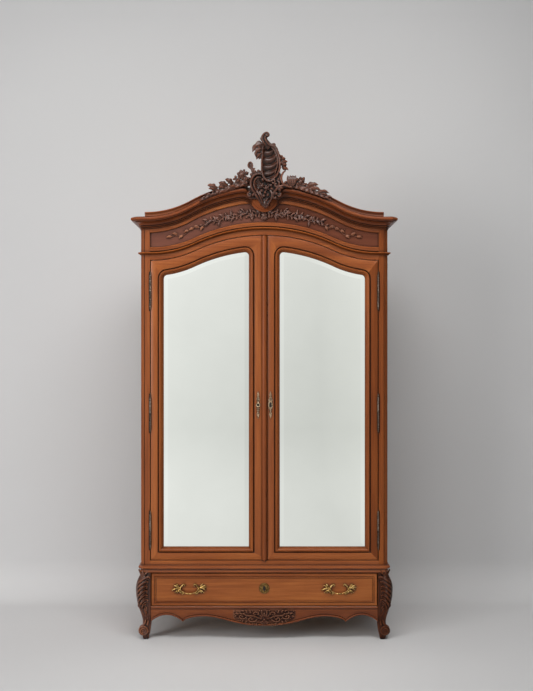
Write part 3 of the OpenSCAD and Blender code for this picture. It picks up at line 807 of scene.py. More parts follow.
def studio_air():
    """Soft light from all round, stronger from the left than from the right."""
    world = bpy.data.worlds.new("studio")
    world.use_nodes = True
    tree = world.node_tree
    back = tree.nodes["Background"]
    back.inputs["Color"].default_value = (0.94, 0.94, 0.945, 1)
    coord = tree.nodes.new("ShaderNodeTexCoord")
    axes = tree.nodes.new("ShaderNodeSeparateXYZ")
    spans = tree.nodes.new("ShaderNodeMapRange")
    for i, number in enumerate((-1.0, 1.0, 0.46, 0.13)):
        spans.inputs[i + 1].default_value = number
    tree.links.new(coord.outputs["Generated"], axes.inputs[0])
    tree.links.new(axes.outputs["X"], spans.inputs[0])
    tree.links.new(spans.outputs[0], back.inputs["Strength"])
    bpy.context.scene.world = world


studio_air()
bpy.context.scene.view_settings.view_transform = "Standard"


def front_screen():
    """The pale near end of the studio, which only shows in the mirrors and in the gloss."""
    n = Nodes("studio_screen")
    axes = n.add("ShaderNodeSeparateXYZ")
    coord = n.add("ShaderNodeTexCoord")
    n.join(coord.outputs["Object"], axes.inputs[0])
    tall = n.ramp(n.spans(axes.outputs["Z"], -0.5, 5.0),
                  [(0.0, (0.84, 0.86, 0.83, 1)), (0.11, (0.82, 0.84, 0.81, 1)),
                   (0.2, (0.74, 0.76, 0.73, 1)), (0.45, (0.83, 0.85, 0.82, 1)),
                   (0.62, (0.89, 0.91, 0.88, 1)), (0.8, (0.92, 0.94, 0.91, 1))])
    wide = n.ramp(n.spans(axes.outputs["X"], -2.5, 2.5),
                  [(0.0, (1.1, 1.1, 1.1, 1)), (0.22, (1.06, 1.06, 1.06, 1)),
                   (0.34, (0.985, 0.985, 0.985, 1)), (0.62, (0.845, 0.845, 0.84, 1)),
                   (0.74, (0.96, 0.96, 0.95, 1)), (1.0, (0.98, 0.98, 0.98, 1))])
    glow = n.add("ShaderNodeEmission")
    n.join(n.blend(1.0, tall, wide, "MULTIPLY"), glow.inputs["Color"])
    n.join(glow.outputs[0], n.tree.nodes["Material Output"].inputs["Surface"])
    bend = 1.6
    near = 0.004
    end_y = FRONT / 1000 - 5.6
    profile = [(-1.2, near), (end_y + bend, near)] + quarter(end_y + bend, near, bend, -1)
    obj = sheet("studio_screen", profile + [(end_y, 7.0)], n.material)
    for kind in ("camera", "shadow", "diffuse", "transmission"):
        setattr(obj, f"visible_{kind}", False)


front_screen()

# ---------------------------------------------------------------- base unit

WAIST = [(out, BASE_TOP - down) for out, down in (
    (-14, 38), (3, 38), (4.4, 36.4), (4.4, 27), (3.2, 25), (1.6, 24.4), (1.6, 21), (6.4, 20.2),
    (10, 17.6), (12.4, 14), (12.9, 10.4), (11.8, 7), (8.8, 4.6), (5, 3.6), (3.4, 2.6), (3.4, 0),
    (-14, 0))]
waist = Shape()
wrap(waist, WAIST, stations(lambda x: 0.0))
# The board behind it is four blocks round a mortise for the bolt of the drawer's lock.
BOARD_END = HALF - 46
MORTISE_X, MORTISE_Y = 16, (24, 32)
for x0, x1, y0, y1 in ((-BOARD_END, -MORTISE_X, 12, 46), (MORTISE_X, BOARD_END, 12, 46),
                       (-MORTISE_X, MORTISE_X, 12, MORTISE_Y[0]),
                       (-MORTISE_X, MORTISE_X, MORTISE_Y[1], 46)):
    waist.block((x0, FRONT + y0, BASE_TOP - 37.5), (x1, FRONT + y1, BASE_TOP - 0.5))
piece("waist_mould", waist, walnut("X", 0.3, "mould"), "carcass", ["waist_moulding"])

APRON_TOP = box_mm("drawer_rail")[0][2]
LEG_IN = box_mm("front_apron")[1][0]
WAVE = 300
CUSP = 407


def apron_edge(x):
    """Height of the apron's lower edge: a wave, a hollow up to a cusp, and a second hollow."""
    u = abs(x)
    if u < WAVE:
        return 94 - 23 * math.cos(math.pi * (u / WAVE) ** 1.3)
    if u < CUSP:
        return 87 + 30 * math.sqrt(max(0.0, 1 - ((u - WAVE) / (CUSP - WAVE)) ** 2))
    return 124 - 0.0052 * (u - 488) ** 2


apron = Shape()
xs = spread(0, WAVE, 30) + spread(WAVE + 10, CUSP, 14) + spread(CUSP + 4, LEG_IN, 22)
xs = [-x for x in reversed(xs[1:])] + xs
rows = []
for x in xs:
    e = apron_edge(x)
    rows.append([(x, FRONT + y, z) for y, z in (
        (20, APRON_TOP), (20, e), (0.5, e), (-2.0, e + 1.2), (-3.4, e + 3.6), (-3.4, e + 6.0),
        (-2.0, e + 8.4), (0.6, e + 9.6), (3.0, e + 10.2), (3.0, e + 11.6), (1.8, e + 12.4),
        (1.8, APRON_TOP))])
apron.grid(rows)
piece("apron_board", apron, walnut("X", 1.1, "apron"), "carcass", ["front_apron"])

# Carved reserve in the middle of the apron: scrolls, leaves and pearls on a flat ground.
reserve = Shape()
ground = []
REACH = 156
for x in spread(-REACH, REACH, 64):
    low = apron_edge(x) + 11
    high = APRON_TOP - 2.5 - 2.0 * (abs(x) / REACH) ** 6
    low = min(low + 16 * max(0.0, (abs(x) - 138) / 18) ** 2, high - 4)
    ground.append([(x, FRONT + y, z) for y, z in ((3, low), (0.2, low), (0.2, high), (3, high))])
reserve.grid(ground)
RELIEF_Y = FRONT - 1.0
for s in (-1, 1):
    def at(x, z, d=0.0):
        return (s * x, RELIEF_Y - 1.7 * d, z)
    for route, radii in (
            ([(6, 96), (26, 108, 2), (52, 120, 3), (84, 122, 2), (112, 132, 2), (142, 138)],
             [3, 3.4, 3.2, 2.6, 1.4]),
            ([(30, 112), (44, 96, 2), (66, 92, 3), (78, 104, 3), (68, 112, 2), (61, 105, 2)],
             [2.4, 2.8, 2.6, 2.0, 1.8]),
            ([(84, 122), (98, 108, 2), (116, 108, 3), (124, 119, 3), (114, 125, 2),
              (109, 118, 2)], [2.0, 2.4, 2.2, 1.8, 1.5]),
            ([(24, 124), (34, 138, 2), (48, 140, 3), (54, 132, 3), (47, 128, 2)],
             [2.2, 2.4, 2.0, 1.6, 1.4])):
        stroke(reserve, [at(*p) for p in route], radii, 0.9)
    for x, z, a, size in ((20, 92, 200, 20), (40, 84, 230, 16), (58, 86, 250, 15),
                          (88, 96, 280, 16), (104, 100, 300, 13), (70, 134, 70, 17),
                          (88, 138, 60, 16), (104, 142, 40, 14), (128, 130, 10, 18),
                          (138, 122, 330, 14), (34, 126, 110, 15), (14, 134, 80, 18),
                          (98, 128, 20, 12), (50, 112, 60, 12), (18, 114, 140, 13)):
        w = math.radians(a)
        leaf(reserve, [at(x, z, 1), at(x + size * 0.5 * math.cos(w + 0.35),
                                       z + size * 0.5 * math.sin(w + 0.35), 3.5),
                       at(x + size * math.cos(w), z + size * math.sin(w), 1.5)],
             size * 0.27, lift=3.0, lobes=2 if size > 14 else 0, thick=3.0)
    flower(reserve, at(61, 104, 2), 7, 5, rise=1.8, deep=0.8)
    flower(reserve, at(110, 118, 2), 5.5, 5, turn=0.4, rise=1.5, deep=0.8)
    for x, z in ((12, 144), (24, 146), (42, 126), (58, 144), (78, 120), (96, 148), (114, 146),
                 (122, 140), (134, 132), (146, 144), (148, 128), (98, 90), (74, 84), (50, 82),
                 (28, 78), (88, 106), (36, 100), (118, 98), (130, 108), (142, 116)):
        ball(reserve, at(x, z, 0.5), 2.6)
# Its palmette: seven ribs up, five down, and a boss.
for k in range(7):
    a = math.radians(90 + (k - 3) * 26)
    stroke(reserve, [(0, RELIEF_Y - 1, 104),
                     (16 * math.cos(a), RELIEF_Y - 4, 104 + 16 * math.sin(a)),
                     (29 * math.cos(a), RELIEF_Y - 2, 106 + 30 * math.sin(a))],
           [1.6, 3.4, 4.4, 3.4], 0.8)
for k in range(5):
    a = math.radians(270 + (k - 2) * 30)
    stroke(reserve, [(0, RELIEF_Y - 2, 100),
                     (10 * math.cos(a), RELIEF_Y - 5, 100 + 12 * math.sin(a)),
                     (19 * math.cos(a), RELIEF_Y - 2, 100 + 29 * math.sin(a))],
           [2.0, 3.4, 3.6, 1.2], 0.9)
ball(reserve, (0, RELIEF_Y - 3, 102), 7, 0.8)
piece("apron_reserve", reserve, walnut("X", 2.0, "reserve"), "carcass",
      ["apron_carving"], voxel=1.2)

# Rail with its bead under the drawer.
rail = Shape()
RAIL = [(40, 0.3), (40, 16.7), (4, 16.7), (1, 16.2), (-1.4, 14.6), (-2.6, 12), (-2.6, 9.4),
        (-1.4, 7.2), (1, 6), (3.2, 5.4), (3.2, 1.0), (4, 0.3)]
rail.grid([[(x, FRONT + y, APRON_TOP + z) for y, z in RAIL] for x in (-LEG_IN, LEG_IN)])
piece("drawer_bead_rail", rail, walnut("X", 0.8, "mould"), "carcass", ["drawer_rail"])

# ---- Cabriole legs
LEG_TOP = box_mm("front_leg_right")[1][2]
SHANK_IN = 567
# Height, inner edge, outer edge and cut of the corner.
SECTIONS = [(0, 581, 608, 8), (8, 579, 610, 9), (20, 577, 612, 10), (34, 573, 613, 10),
            (50, 571, 613, 10), (66, 569, 612, 10)]
SECTIONS += [(z, SHANK_IN, outer, cut) for z, outer, cut in (
    (84, 610, 10), (104, 612, 11), (126, 618, 13), (146, 624, 16), (166, 630, 19),
    (190, 636, 22), (214, 640, 24), (240, 642, 25), (266, 642, 25), (290, 638, 23),
    (310, 630, 20), (326, 622, 16), (LEG_TOP, 618, 15))]


def leg_at(z):
    """Inner edge, outer edge and cut of the corner at a height."""
    for k in range(len(SECTIONS) - 1):
        if z <= SECTIONS[k + 1][0]:
            break
    rows4 = [SECTIONS[max(0, min(len(SECTIONS) - 1, j))] for j in (k - 1, k, k + 1, k + 2)]
    t = (z - rows4[1][0]) / (rows4[2][0] - rows4[1][0])
    out = []
    for c in (1, 2, 3):
        a, b, d, e = (row[c] for row in rows4)
        out.append(0.5 * (2 * b + (d - a) * t + (2 * a - 5 * b + 4 * d - e) * t * t
                          + (3 * b - a - 3 * d + e) * t ** 3))
    return out


def leg_ring(z):
    """The leg's outline at a height."""
    inner, outer, cut = leg_at(z)
    inner += LEG_IN - SHANK_IN
    bulge = outer - HALF
    face = FRONT + max(-bulge, 0.0)
    nose = FRONT - bulge
    rear = FRONT + 51 - (inner - LEG_IN)
    flank = HALF + min(bulge, 0.0)
    third = inner + 0.34 * (outer - inner)
    return [(inner, face + 3, z), (inner + 3, face, z), (third, face, z),
            (third + 0.4 * (outer - cut - third), face + 0.42 * (nose - face), z),
            (outer - cut, nose, z), (outer - cut * 0.45, nose + cut * 0.32, z),
            (outer - cut * 0.32, nose + cut * 0.45, z), (outer, nose + cut, z),
            (outer - 0.45 * (outer - flank), (nose + cut + rear) / 2 - 4, z),
            (flank, rear - 6, z), (flank, rear - 2, z), (flank - 2, rear, z),
            (inner + 2, rear, z), (inner, rear - 2, z)]


def on_leg(inset, z, lift=0.0):
    """A point on the front of the leg: in from its outer edge, up, and off the surface."""
    inner, outer, corner = leg_at(z)
    bulge = outer - HALF
    nose = FRONT - bulge
    third = inner + 0.34 * (outer - inner)
    x = outer - inset
    if inset < corner:
        y = nose + corner - inset
    else:
        y = nose + (FRONT - nose) * min(1.0, (outer - corner - x) / (outer - corner - third))
    lean = max(0.0, 1 - inset / 30)
    return (x + lift * 0.7 * lean, y - lift * (1 - 0.3 * lean), z)


def leg_leaf(shape, points, width, **style):
    """A leaf through points on the leg."""
    leaf(shape, [on_leg(*p) for p in points], width, facing=OUTWARD, **style)


def leg_stem(shape, points, radii, deep=0.9):
    """A stem through points on the leg."""
    stroke(shape, [on_leg(*p) for p in points], radii, deep, facing=OUTWARD)


def volute(shape, centre, axis, r, half):
    """A rolled scroll seen from its end: a bead at the eye, a groove and a round rim."""
    shape.lathe(centre, axis, [(0.1, -half), (r - 2, -half), (r, -half + 2.5), (r, half - 3),
                               (r - 1.6, half - 0.8), (r - 4.5, half + 0.4), (r - 8, half - 1),
                               (r - 10.5, half - 3.6), (r * 0.42, half - 3.8),
                               (r * 0.36, half - 1), (r * 0.3, half + 0.8),
                               (r * 0.16, half + 2.2), (0.1, half + 2.8)], around=36)


OUTWARD = Vector((0.35, -1, 0)).normalized()
leg = Shape()
leg.grid([leg_ring(z) for z in spread(0, LEG_TOP, 70)])
# The knee: six slanting lobes one below the other, each with a thinner one beside it.
for k, z in enumerate(spread(308, 196, 5)):
    size = 1.0 - 0.05 * k
    leg_stem(leg, [(8, z - 40, -3), (13, z - 25, 3), (22, z - 9, 7), (34, z + 3, 9),
                   (47, z + 8, 9), (58, z + 3, 8)],
             [2.6 * size, 5.0 * size, 6.4 * size, 6.8 * size, 6.6 * size, 5.2 * size], 1.05)
    leg_stem(leg, [(20, z - 34, 2), (27, z - 20, 6), (36, z - 9, 7), (48, z - 3, 7),
                   (56, z - 7, 6)], [2.4, 3.8, 4.2, 3.8, 2.8])
leg_leaf(leg, [(24, 328, 2), (22, 314, 6), (14, 298, 7), (5, 288, 2)], 9, lift=4, lobes=2,
         thick=7)
# Scrolls that end the lobes, and the tips of the leaf.
for z, r, turns in ((184, 13, 1.1), (160, 8, 0.9)):
    leg_stem(leg, [(34 - a[0], z + a[2], 5 + 3 * i / 13) for i, a in
                   enumerate(scroll((0, 0), r, 2.5, 100, turns, 14))], [3.4, 3.2, 2.8, 2.2, 2.0])
leg_leaf(leg, [(30, 156, 3), (29, 142, 5), (28, 126, 1)], 9, lift=3.5, lobes=2, thick=5)
leg_leaf(leg, [(14, 196, 4), (9, 170, 6), (13, 142, 1)], 8, lift=3.5, lobes=3, thick=5)
# The collar under the waist: two leaflets that curl over at the corner.
for inset, reach in ((10, -9), (22, 34)):
    leg_stem(leg, [(inset, 322, 3), ((inset + reach) / 2, 334, 5), (reach, 345, 3),
                   (reach + 4, 351, 2)], [3.6, 4.4, 3.8, 2.6])
leg_leaf(leg, [(16, 316, 3), (14, 334, 7), (12, 350, 2)], 10, lift=4, lobes=3, thick=6)
# The foot: a scroll rolled outwards, which shows its eye to the front and to the side.
EYE_X, EYE_Z = 603, 45
volute(leg, (EYE_X, FRONT + 20, EYE_Z), (0.12, -1, 0), 25, 22)
volute(leg, (EYE_X - 3, FRONT + 24, EYE_Z), (1, 0.05, 0), 20, 26)
stroke(leg, [(x, FRONT - 3.4, z) for x, _, z in scroll((EYE_X, EYE_Z), 22, 9, 95, 1.6, 40)],
       [4.0, 3.4, 2.6], 1.0, count=80)
leg_stem(leg, [(18, 100, 0), (14, 84, 2), (8, 72, 4), (2, 66, 5)], [2, 5, 7, 7], 0.8)
leg_stem(leg, [(30, 98, 0), (28, 84, 1), (26, 74, 2)], [1.5, 4, 5], 0.7)
# The right leg takes the darker tone, as painted shade.
for side, shape, shift, tone in (("right", leg, 5.0, "knee_right"),
                                 ("left", leg.mirrored(), 4.0, "knee")):
    piece(f"cabriole_leg_{side}", shape, walnut("Z", shift, tone), "carcass",
          [f"front_leg_{side}"], voxel=1.6, relax=1)

# ---------------------------------------------------------------- head of the carcass

xs_open = spread(-POST_IN, POST_IN, 90)
header = Shape()
flat_band(header, head, xs_open, [(22, 3), (22, 28), (0, 28), (0, 6), (-0.8, 5), (-0.8, 3.6),
                                  (0, 3)])
header_piece = piece("header_board", header, walnut("X", 6.0), "carcass",
                     ["header_rail"])
# Socket for the right door's upper flush bolt.
BOLT_X = 22
open_socket(header_piece, BOLT_X - 4.2, BOLT_X + 4.2, FRONT + 8.8, FRONT + 19.2,
            head(BOLT_X) + HEADER_LOW, -1)

NECK = [(-12, 28), (1.0, 28), (1.0, 29.6), (3.4, 30.2), (3.4, 32.4), (9.0, 33.2), (13, 34.2),
        (15.2, 36.0), (15.8, 38.0), (15.0, 40.0), (12, 41.2), (4, 41.8), (-5.0, 42.2),
        (-5.0, 46.8), (-0.6, 48), (-12, 48)]
neck = Shape()
wrap(neck, NECK, stations(head))
piece("neck_mould", neck, walnut("X", 6.6, "neck"), "carcass", ["neck_moulding"])

frieze = Shape()
flat_band(frieze, head, xs_open, [(20, 48), (20, 68), (6, 68), (1.5, 66.6), (0, 64.6),
                                  (0, 60), (-0.8, 59), (0, 58), (0, 48)])
flat_band(frieze, crown, xs_open, [(20, 0), (20, 17), (-1.2, 17), (-1.2, 12), (0, 10.6),
                                   (0, 4.4), (1.5, 2), (6, 0)])
# Round tablet under the cartouche: radius and depth behind the front, from its edge inwards.
TABLET_Z = CROWN + 26
TABLET_RINGS = ((72, 8), (72, -1.4), (69.8, -3.2), (62, -3.2), (59.6, -2.2), (58, -3.2),
                (1, -3.2), (1, 8))
ring_rows = []
for a in [math.radians(a) for a in spread(180 + 7, 360 - 7, 40)]:
    ring_rows.append([(radius * math.cos(a), FRONT + y,
                       min(TABLET_Z + radius * math.sin(a), TABLET_Z - 8.6))
                      for radius, y in TABLET_RINGS])
frieze.grid(ring_rows, kind=1)
# The tablet takes its own redder tone, lightened as painted light.
piece("frieze_bands", frieze, [walnut("X", 7.4), walnut("X", 7.9, "tablet")], "carcass",
      ["frieze_rails"])

panel = Shape()
# The right half of the ground takes a darker tone, as painted shade.
for kind, low, high in ((0, -POST_IN, 0), (1, 0, POST_IN)):
    panel.grid([[(x, FRONT + 18, head(x) + 68), (x, FRONT + 8, head(x) + 68),
                 (x, FRONT + 8, crown(x)), (x, FRONT + 18, crown(x))]
                for x in spread(low, high, 45)], kind=kind, caps=False)
piece("frieze_ground", panel, [walnut("X", 8.2, "frieze"), walnut("X", 8.6, "frieze_right")],
      "carcass", ["frieze_panel"])

# ---- Garland along the frieze
garland = Shape()
tips = Shape()
GARLAND = 487
GY = FRONT + 4.6


def vine(x):
    """Middle line of the garland."""
    return (head(x) + 68 + crown(x)) / 2 - 4 * (1 - abs(x) / GARLAND) ** 2


def wave(x):
    """How far the stem swings from the middle line."""
    return 9.0 * math.sin(2 * math.pi * (x + 12) / 88) * min(1.0, (GARLAND + 60 - x) / 200)


def sprig(shape, s, x, z, tilt, size, width, lobes=0):
    """A pointed leaf that stands off the ground in the middle."""
    c, d = math.cos(tilt), math.sin(tilt)
    middle = (s * (x + 0.5 * size * c - 0.1 * size * d), GY - 3.6,
              z + 0.5 * size * d + 0.1 * size * c)
    leaf(shape, [(s * x, GY, z), middle, (s * (x + size * c), GY - 1.6, z + size * d)],
         width, lift=3.4, thick=4.2, lobes=lobes, blunt=0.75)


for s in (-1, 1):
    stem = [(s * x, GY - 0.6, vine(x) + wave(x)) for x in spread(6, GARLAND - 22, 60)]
    stroke(garland, stem, [2.2, 2.2, 1.9, 1.4], 1.1, count=180, around=8)
    x = 20.0
    k = 0
    while x < GARLAND - 20:
        t = x / GARLAND
        z = vine(x) + wave(x)
        slope = math.atan((vine(x + 3) + wave(x + 3) - vine(x - 3) - wave(x - 3)) / 6)
        way = 1 if k % 2 else -1
        tilt = slope + way * math.radians(52 - 14 * t + 22 * rng.random())
        if t < 0.62:
            sprig(garland, s, x, z, tilt, 33 - 2 * t, 5.2 + 2 * t, 2 if t < 0.3 else 0)
        else:
            sprig(tips, s, x, z + 2 * way, slope + way * math.radians(18), 27, 6.8)
        if t < 0.66:
            tilt = slope - way * math.radians(52 + 24 * rng.random())
            sprig(garland, s, x + 4, z, tilt, 21 - 5 * t, 5.0)
        if t < 0.8 and k % 3 == 1:
            berry = (s * (x + 22), GY - 1.8, z + way * 9)
            stroke(garland, [(s * (x + 6), GY - 0.5, z), (s * (x + 14), GY - 2.2, z + way * 12),
                             berry], [1.2, 1.1, 0.8])
            ball(garland, berry, 2.8)
        x += 15.5 + 20 * t * t
        k += 1
    sprig(tips, s, GARLAND - 24, vine(GARLAND - 24) + wave(GARLAND - 24),
          -math.atan(0.12), 28, 6.4)
    for k, x in enumerate((62, 118, 178, 235, 292)):
        way = 1 if k % 2 else -1
        flower(garland, (s * x, GY - 1.5, vine(x) + way * (13 - 2 * k)), 13 - 1.0 * k, 5,
               turn=k, rise=2.4, deep=0.7)
for x, dz, r in ((0, -8, 14), (-29, 8, 9.5), (30, 9, 9.5), (-24, -17, 8), (26, -16, 8),
                 (0, 15, 8), (-88, -15, 8), (90, -14, 8)):
    flower(garland, (x, GY - 1.5, vine(x) + dz), r, 6 if r > 9 else 5, turn=x, rise=2.4,
           deep=0.7)
for k in range(5):
    a = math.radians(270 + (k - 2) * 26)
    leaf(garland, [(0, GY - 1, vine(0) - 12),
                   (12 * math.cos(a), GY - 4, vine(0) - 14 + 13 * math.sin(a)),
                   (24 * math.cos(a), GY - 1, vine(0) - 12 + 25 * math.sin(a))], 5.5,
         lift=2.6, thick=2.4)
piece("frieze_garland", garland, walnut("X", 9.0, "sprig"), "carcass",
      ["frieze_carving"], voxel=1.5, relax=1)
# The outer leaves take a lighter tone, as painted light.
piece("frieze_garland_tips", tips, walnut("X", 9.4, "tips"), "carcass",
      ["frieze_carving"], voxel=1.2, relax=1)

# ---- Cornice: profile points are (way outwards, lift over the frieze)
CORNICE = [(-22, 17), (3.4, 17), (3.4, 19.2), (-3.0, 19.4), (-3.0, 21.8), (4.4, 22),
           (6.4, 23.2), (6.4, 25), (4.4, 26.4), (-2.0, 26.6), (-2.0, 29.2), (6.4, 29.4),
           (9.0, 30.8), (9.0, 33), (6.6, 34.4), (0.4, 34.6), (0.4, 37.2), (10.4, 37.4),
           (11.6, 41), (14, 45), (18, 48.6), (24, 51), (29, 52), (29, 55.8), (34, 56),
           (45, 56), (45, 59), (48.4, 60), (50.2, 62.4), (50.8, 66), (50.2, 70), (48.6, 73),
           (46, 74.6), (42, 75.4), (42, 76.4), (-22, 76.4)]
FILLET = [(-22, 76), (37, 76), (38.6, 78.2), (37, 80.6), (36.4, 84), (37.4, 88), (40, 92),
          (42.4, 94.6), (42.4, 98), (41, 99), (-22, 99)]
# Half the gap between its two halves, how far from it they dip, and the fillet's end.
BREAK, DIP_LONG, DIP_DEEP = 62, 52, 30
FILLET_END = 593
cornice = Shape()
top = Shape()
for side in (-1, 1):
    curled = []
    for x, y, z, mx, my in stations(crown, BREAK, side, step=14):
        t = max(0.0, 1 - (abs(x) - BREAK) / DIP_LONG)
        curled.append((x, y, z - DIP_DEEP * t * t, mx, my, 1 - 0.45 * t * t))
    cornice.grid([[(x + mx * p, y + my * p * shrink, z + h) for p, h in CORNICE]
                  for x, y, z, mx, my, shrink in curled])
    xs_top = [c for c in curled if abs(c[0]) <= FILLET_END]
    edge = side * FILLET_END
    row = (edge, FRONT, crown(edge), 0.0, -1.0, 1.0)
    xs_top = [row] + xs_top if side < 0 else xs_top + [row]
    top.grid([[(x + mx * p, y + my * p * shrink, z + h - (1 - shrink) * 40) for p, h in FILLET]
              for x, y, z, mx, my, shrink in xs_top])
piece("cornice_mould", cornice, walnut("X", 10.0, "cornice"), "carcass",
      ["cornice_front", "cornice_returns"])
piece("cornice_cap", top, walnut("X", 11.0, "cornice"), "carcass", ["cornice_fillet"])

# ---------------------------------------------------------------- crest


def cr(x, z, d):
    """A point of the crest: across, above the frieze panel, and in front of the posts."""
    return (x, FRONT - d, CROWN + z)


def trace(shape, points, radii, deep=1.0):
    """A stem through points of the crest."""
    stroke(shape, [cr(*p) for p in points], radii, deep)


def crest_leaf(shape, points, width, **style):
    """A leaf through points of the crest."""
    leaf(shape, [cr(*p) for p in points], width, **style)


def crest_mass(shape, outline, d0, d1):
    """A flat-backed mass of wood behind the carving, with a rounded front edge."""
    soft = 5.0
    mx = sum(x for x, _ in outline) / len(outline)
    mz = sum(z for _, z in outline) / len(outline)

    def ring(d, inset):
        out = []
        for x, z in outline:
            reach = max(math.hypot(x - mx, z - mz), 1.0)
            keep = 1 - inset / reach
            out.append(cr(mx + (x - mx) * keep, mz + (z - mz) * keep, d))
        return out

    shape.grid([ring(d0, 0), ring(d1 - soft, 0), ring(d1 - 0.3 * soft, 0.3 * soft),
                ring(d1, soft)])


def shell_dish(shape, heights, lefts, rights, rim, sunk, back, ribs):
    """A hollow shell between two edges, crossed by swelling ribs that sag in the middle."""
    rows = []
    fine = 110
    for i in range(fine + 1):
        t = i / fine
        z, x0, x1 = between(heights, t), between(lefts, t), between(rights, t)
        row = []
        for j in range(21):
            u = -1 + j / 10
            bowl = (1 - u * u) ** 0.6
            depth = sunk * bowl * (1 - 0.3 * u)
            phase = ribs * (t + 0.012 * math.sin(11 * t)) - 0.7 * bowl + 0.55 * u
            swell = 6.0 * bowl ** 0.6 * (2 * abs(math.sin(math.pi * phase)) ** 0.8 - 1)
            row.append(cr(x0 + (x1 - x0) * (u + 1) / 2, z - 5 * bowl, rim - depth + swell))
        rows.append(row + [cr(x1, z, back), cr((x0 + x1) / 2, z, back - 4), cr(x0, z, back)])
    shape.grid(rows)


centre = Shape()
crest_mass(centre, [(-64, 120), (-70, 95), (-66, 70), (-57, 48), (-42, 26), (-28, 4), (-16, -16),
                    (0, -32), (14, -32), (28, -12), (38, 10), (54, 22), (70, 40), (86, 54),
                    (92, 74), (84, 94), (80, 116), (74, 140), (50, 156), (0, 156), (-20, 150),
                    (-44, 148), (-58, 138)], 16, 44)
HEIGHTS = [278, 262, 244, 224, 202, 180, 158, 136, 118, 104, 96]
LEFTS = [2, -4, -6, -5, -9, -10, -9, -6, 0, 11, 22]
RIGHTS = [46, 60, 68, 75, 79, 80, 77, 68, 58, 46, 36]
shell_dish(centre, HEIGHTS, LEFTS, RIGHTS, 60, 13, 22, 6.2)
# Dark ground that closes the gaps between the cartouche and the broken cornice.
for way in (-1, 1):
    crest_mass(centre, [(way * x, z) for x, z in ((30, 13), (72, 13), (78, 26), (84, 44), (88, 60),
                                                  (60, 84), (30, 60))], 8, 34)
    stroke(centre, [(x, y, z) for x, y, z in scroll((way * 71, CROWN + 32), 14, 3, 90,
                                                    -1.35 * way, 30, y=FRONT - 45, rise=6)],
           [7.5, 6.5, 5.2, 4, 3], 1.5, count=60)
# Rims of the shell: left edge round under the bowl, right edge, and an inner fillet.
trace(centre, [(16, 284, 52), (-4, 272, 60), (-9, 246, 64), (-8, 222, 64), (-12, 200, 64),
               (-12, 176, 64), (-12, 152, 65), (-8, 130, 67), (0, 112, 68), (14, 99, 69),
               (30, 96, 68), (44, 104, 66), (53, 118, 64)],
      [6, 5, 4.6, 4.6, 4.6, 4.8, 5, 5.5, 5.5, 5.2, 5, 4.6, 4])
trace(centre, [(24, 280, 56), (44, 272, 62), (57, 260, 64), (66, 240, 66), (73, 216, 66),
               (77, 192, 66), (77, 168, 66), (71, 144, 66), (60, 122, 64), (50, 110, 62)],
      [8, 8.5, 8, 7, 6.5, 6.5, 6.5, 6, 5, 4])
trace(centre, [(34, 268, 60), (50, 250, 62), (60, 228, 63), (65, 204, 63), (65, 178, 62),
               (60, 154, 60), (52, 134, 58)], [3, 4, 4, 4, 4, 3.4, 2.4])
for z, x in ((262, 62), (246, 70), (228, 78), (208, 83), (186, 86), (164, 85), (144, 79)):
    ball(centre, cr(x - 4, z, 70), 4.2)
# Stem that rolls over in a knob at the top.
trace(centre, [(26, 266, 42), (14, 280, 46), (4, 296, 50), (-2, 310, 54), (-1, 322, 56),
               (8, 331, 57)], [20, 20, 17, 15, 13, 12], 0.8)
ball(centre, cr(12, 328, 57), 15)
trace(centre, [(-8, 306, 68), (-6, 322, 70), (4, 335, 71), (16, 336, 72), (21, 327, 72),
               (15, 319, 72), (9, 325, 72)], [1.6, 2.6, 3, 3, 2.6, 2.2, 1.8])
trace(centre, [(30, 270, 62), (14, 288, 66), (5, 304, 67), (4, 318, 68)], [3, 4, 3.4, 2])
trace(centre, [(6, 272, 64), (-4, 288, 67), (-10, 300, 66)], [3, 3.6, 2])
crest_leaf(centre, [(-2, 298, 56), (-13, 304, 60), (-21, 314, 60)], 8, lift=3, thick=5, curl=3)
crest_leaf(centre, [(34, 270, 58), (48, 279, 62), (58, 276, 60)], 9, lift=4, thick=6)
# Leaves that fold over at the upper left.
trace(centre, [(-2, 266, 50), (-18, 256, 52), (-24, 238, 52), (-17, 220, 50)],
      [14, 17, 15, 10], 0.7)
for route, width in (([(0, 272, 54), (-20, 277, 66), (-44, 266, 70), (-60, 239, 62)], 22),
                     ([(-4, 256, 58), (-26, 254, 68), (-40, 236, 70), (-43, 217, 64)], 15),
                     ([(-6, 236, 56), (-22, 230, 66), (-33, 216, 66), (-39, 203, 62)], 12),
                     ([(-8, 222, 54), (-18, 216, 60), (-27, 205, 60)], 9)):
    crest_leaf(centre, route, width, lift=6.5, lobes=3, thick=7, curl=3)
    trace(centre, [(x, z, d + 6) for x, z, d in route], [2.4, 3.2, 2.6, 1.2], 0.9)
# Jagged leaves down the right edge.
trace(centre, [(82, 214, 52), (94, 196, 56), (97, 176, 56), (96, 158, 54)], [10, 13, 13, 8], 0.8)
for x, z, tx, tz, w in ((80, 220, 92, 212, 8), (86, 204, 104, 207, 9), (90, 190, 116, 192, 9),
                        (92, 176, 112, 176, 8), (90, 162, 121, 151, 10), (86, 188, 74, 174, 8)):
    crest_leaf(centre, [(x, z, 58), ((x + tx) / 2, (z + tz) / 2 + 4, 67), (tx, tz, 60)], w,
               lift=5, lobes=2, thick=8, curl=1)
# Slender C-scroll below them, which runs into the right spray.
trace(centre, [(106, 150, 58), (95, 142, 61), (87, 128, 63), (84, 112, 64), (87, 95, 64),
               (96, 82, 64), (112, 73, 63), (136, 70, 61)], [3.5, 5, 5.6, 6, 6, 5.6, 5, 3.4])
trace(centre, [(78, 140, 56), (74, 118, 56), (78, 98, 56), (88, 82, 56)], [4, 6, 6, 4])
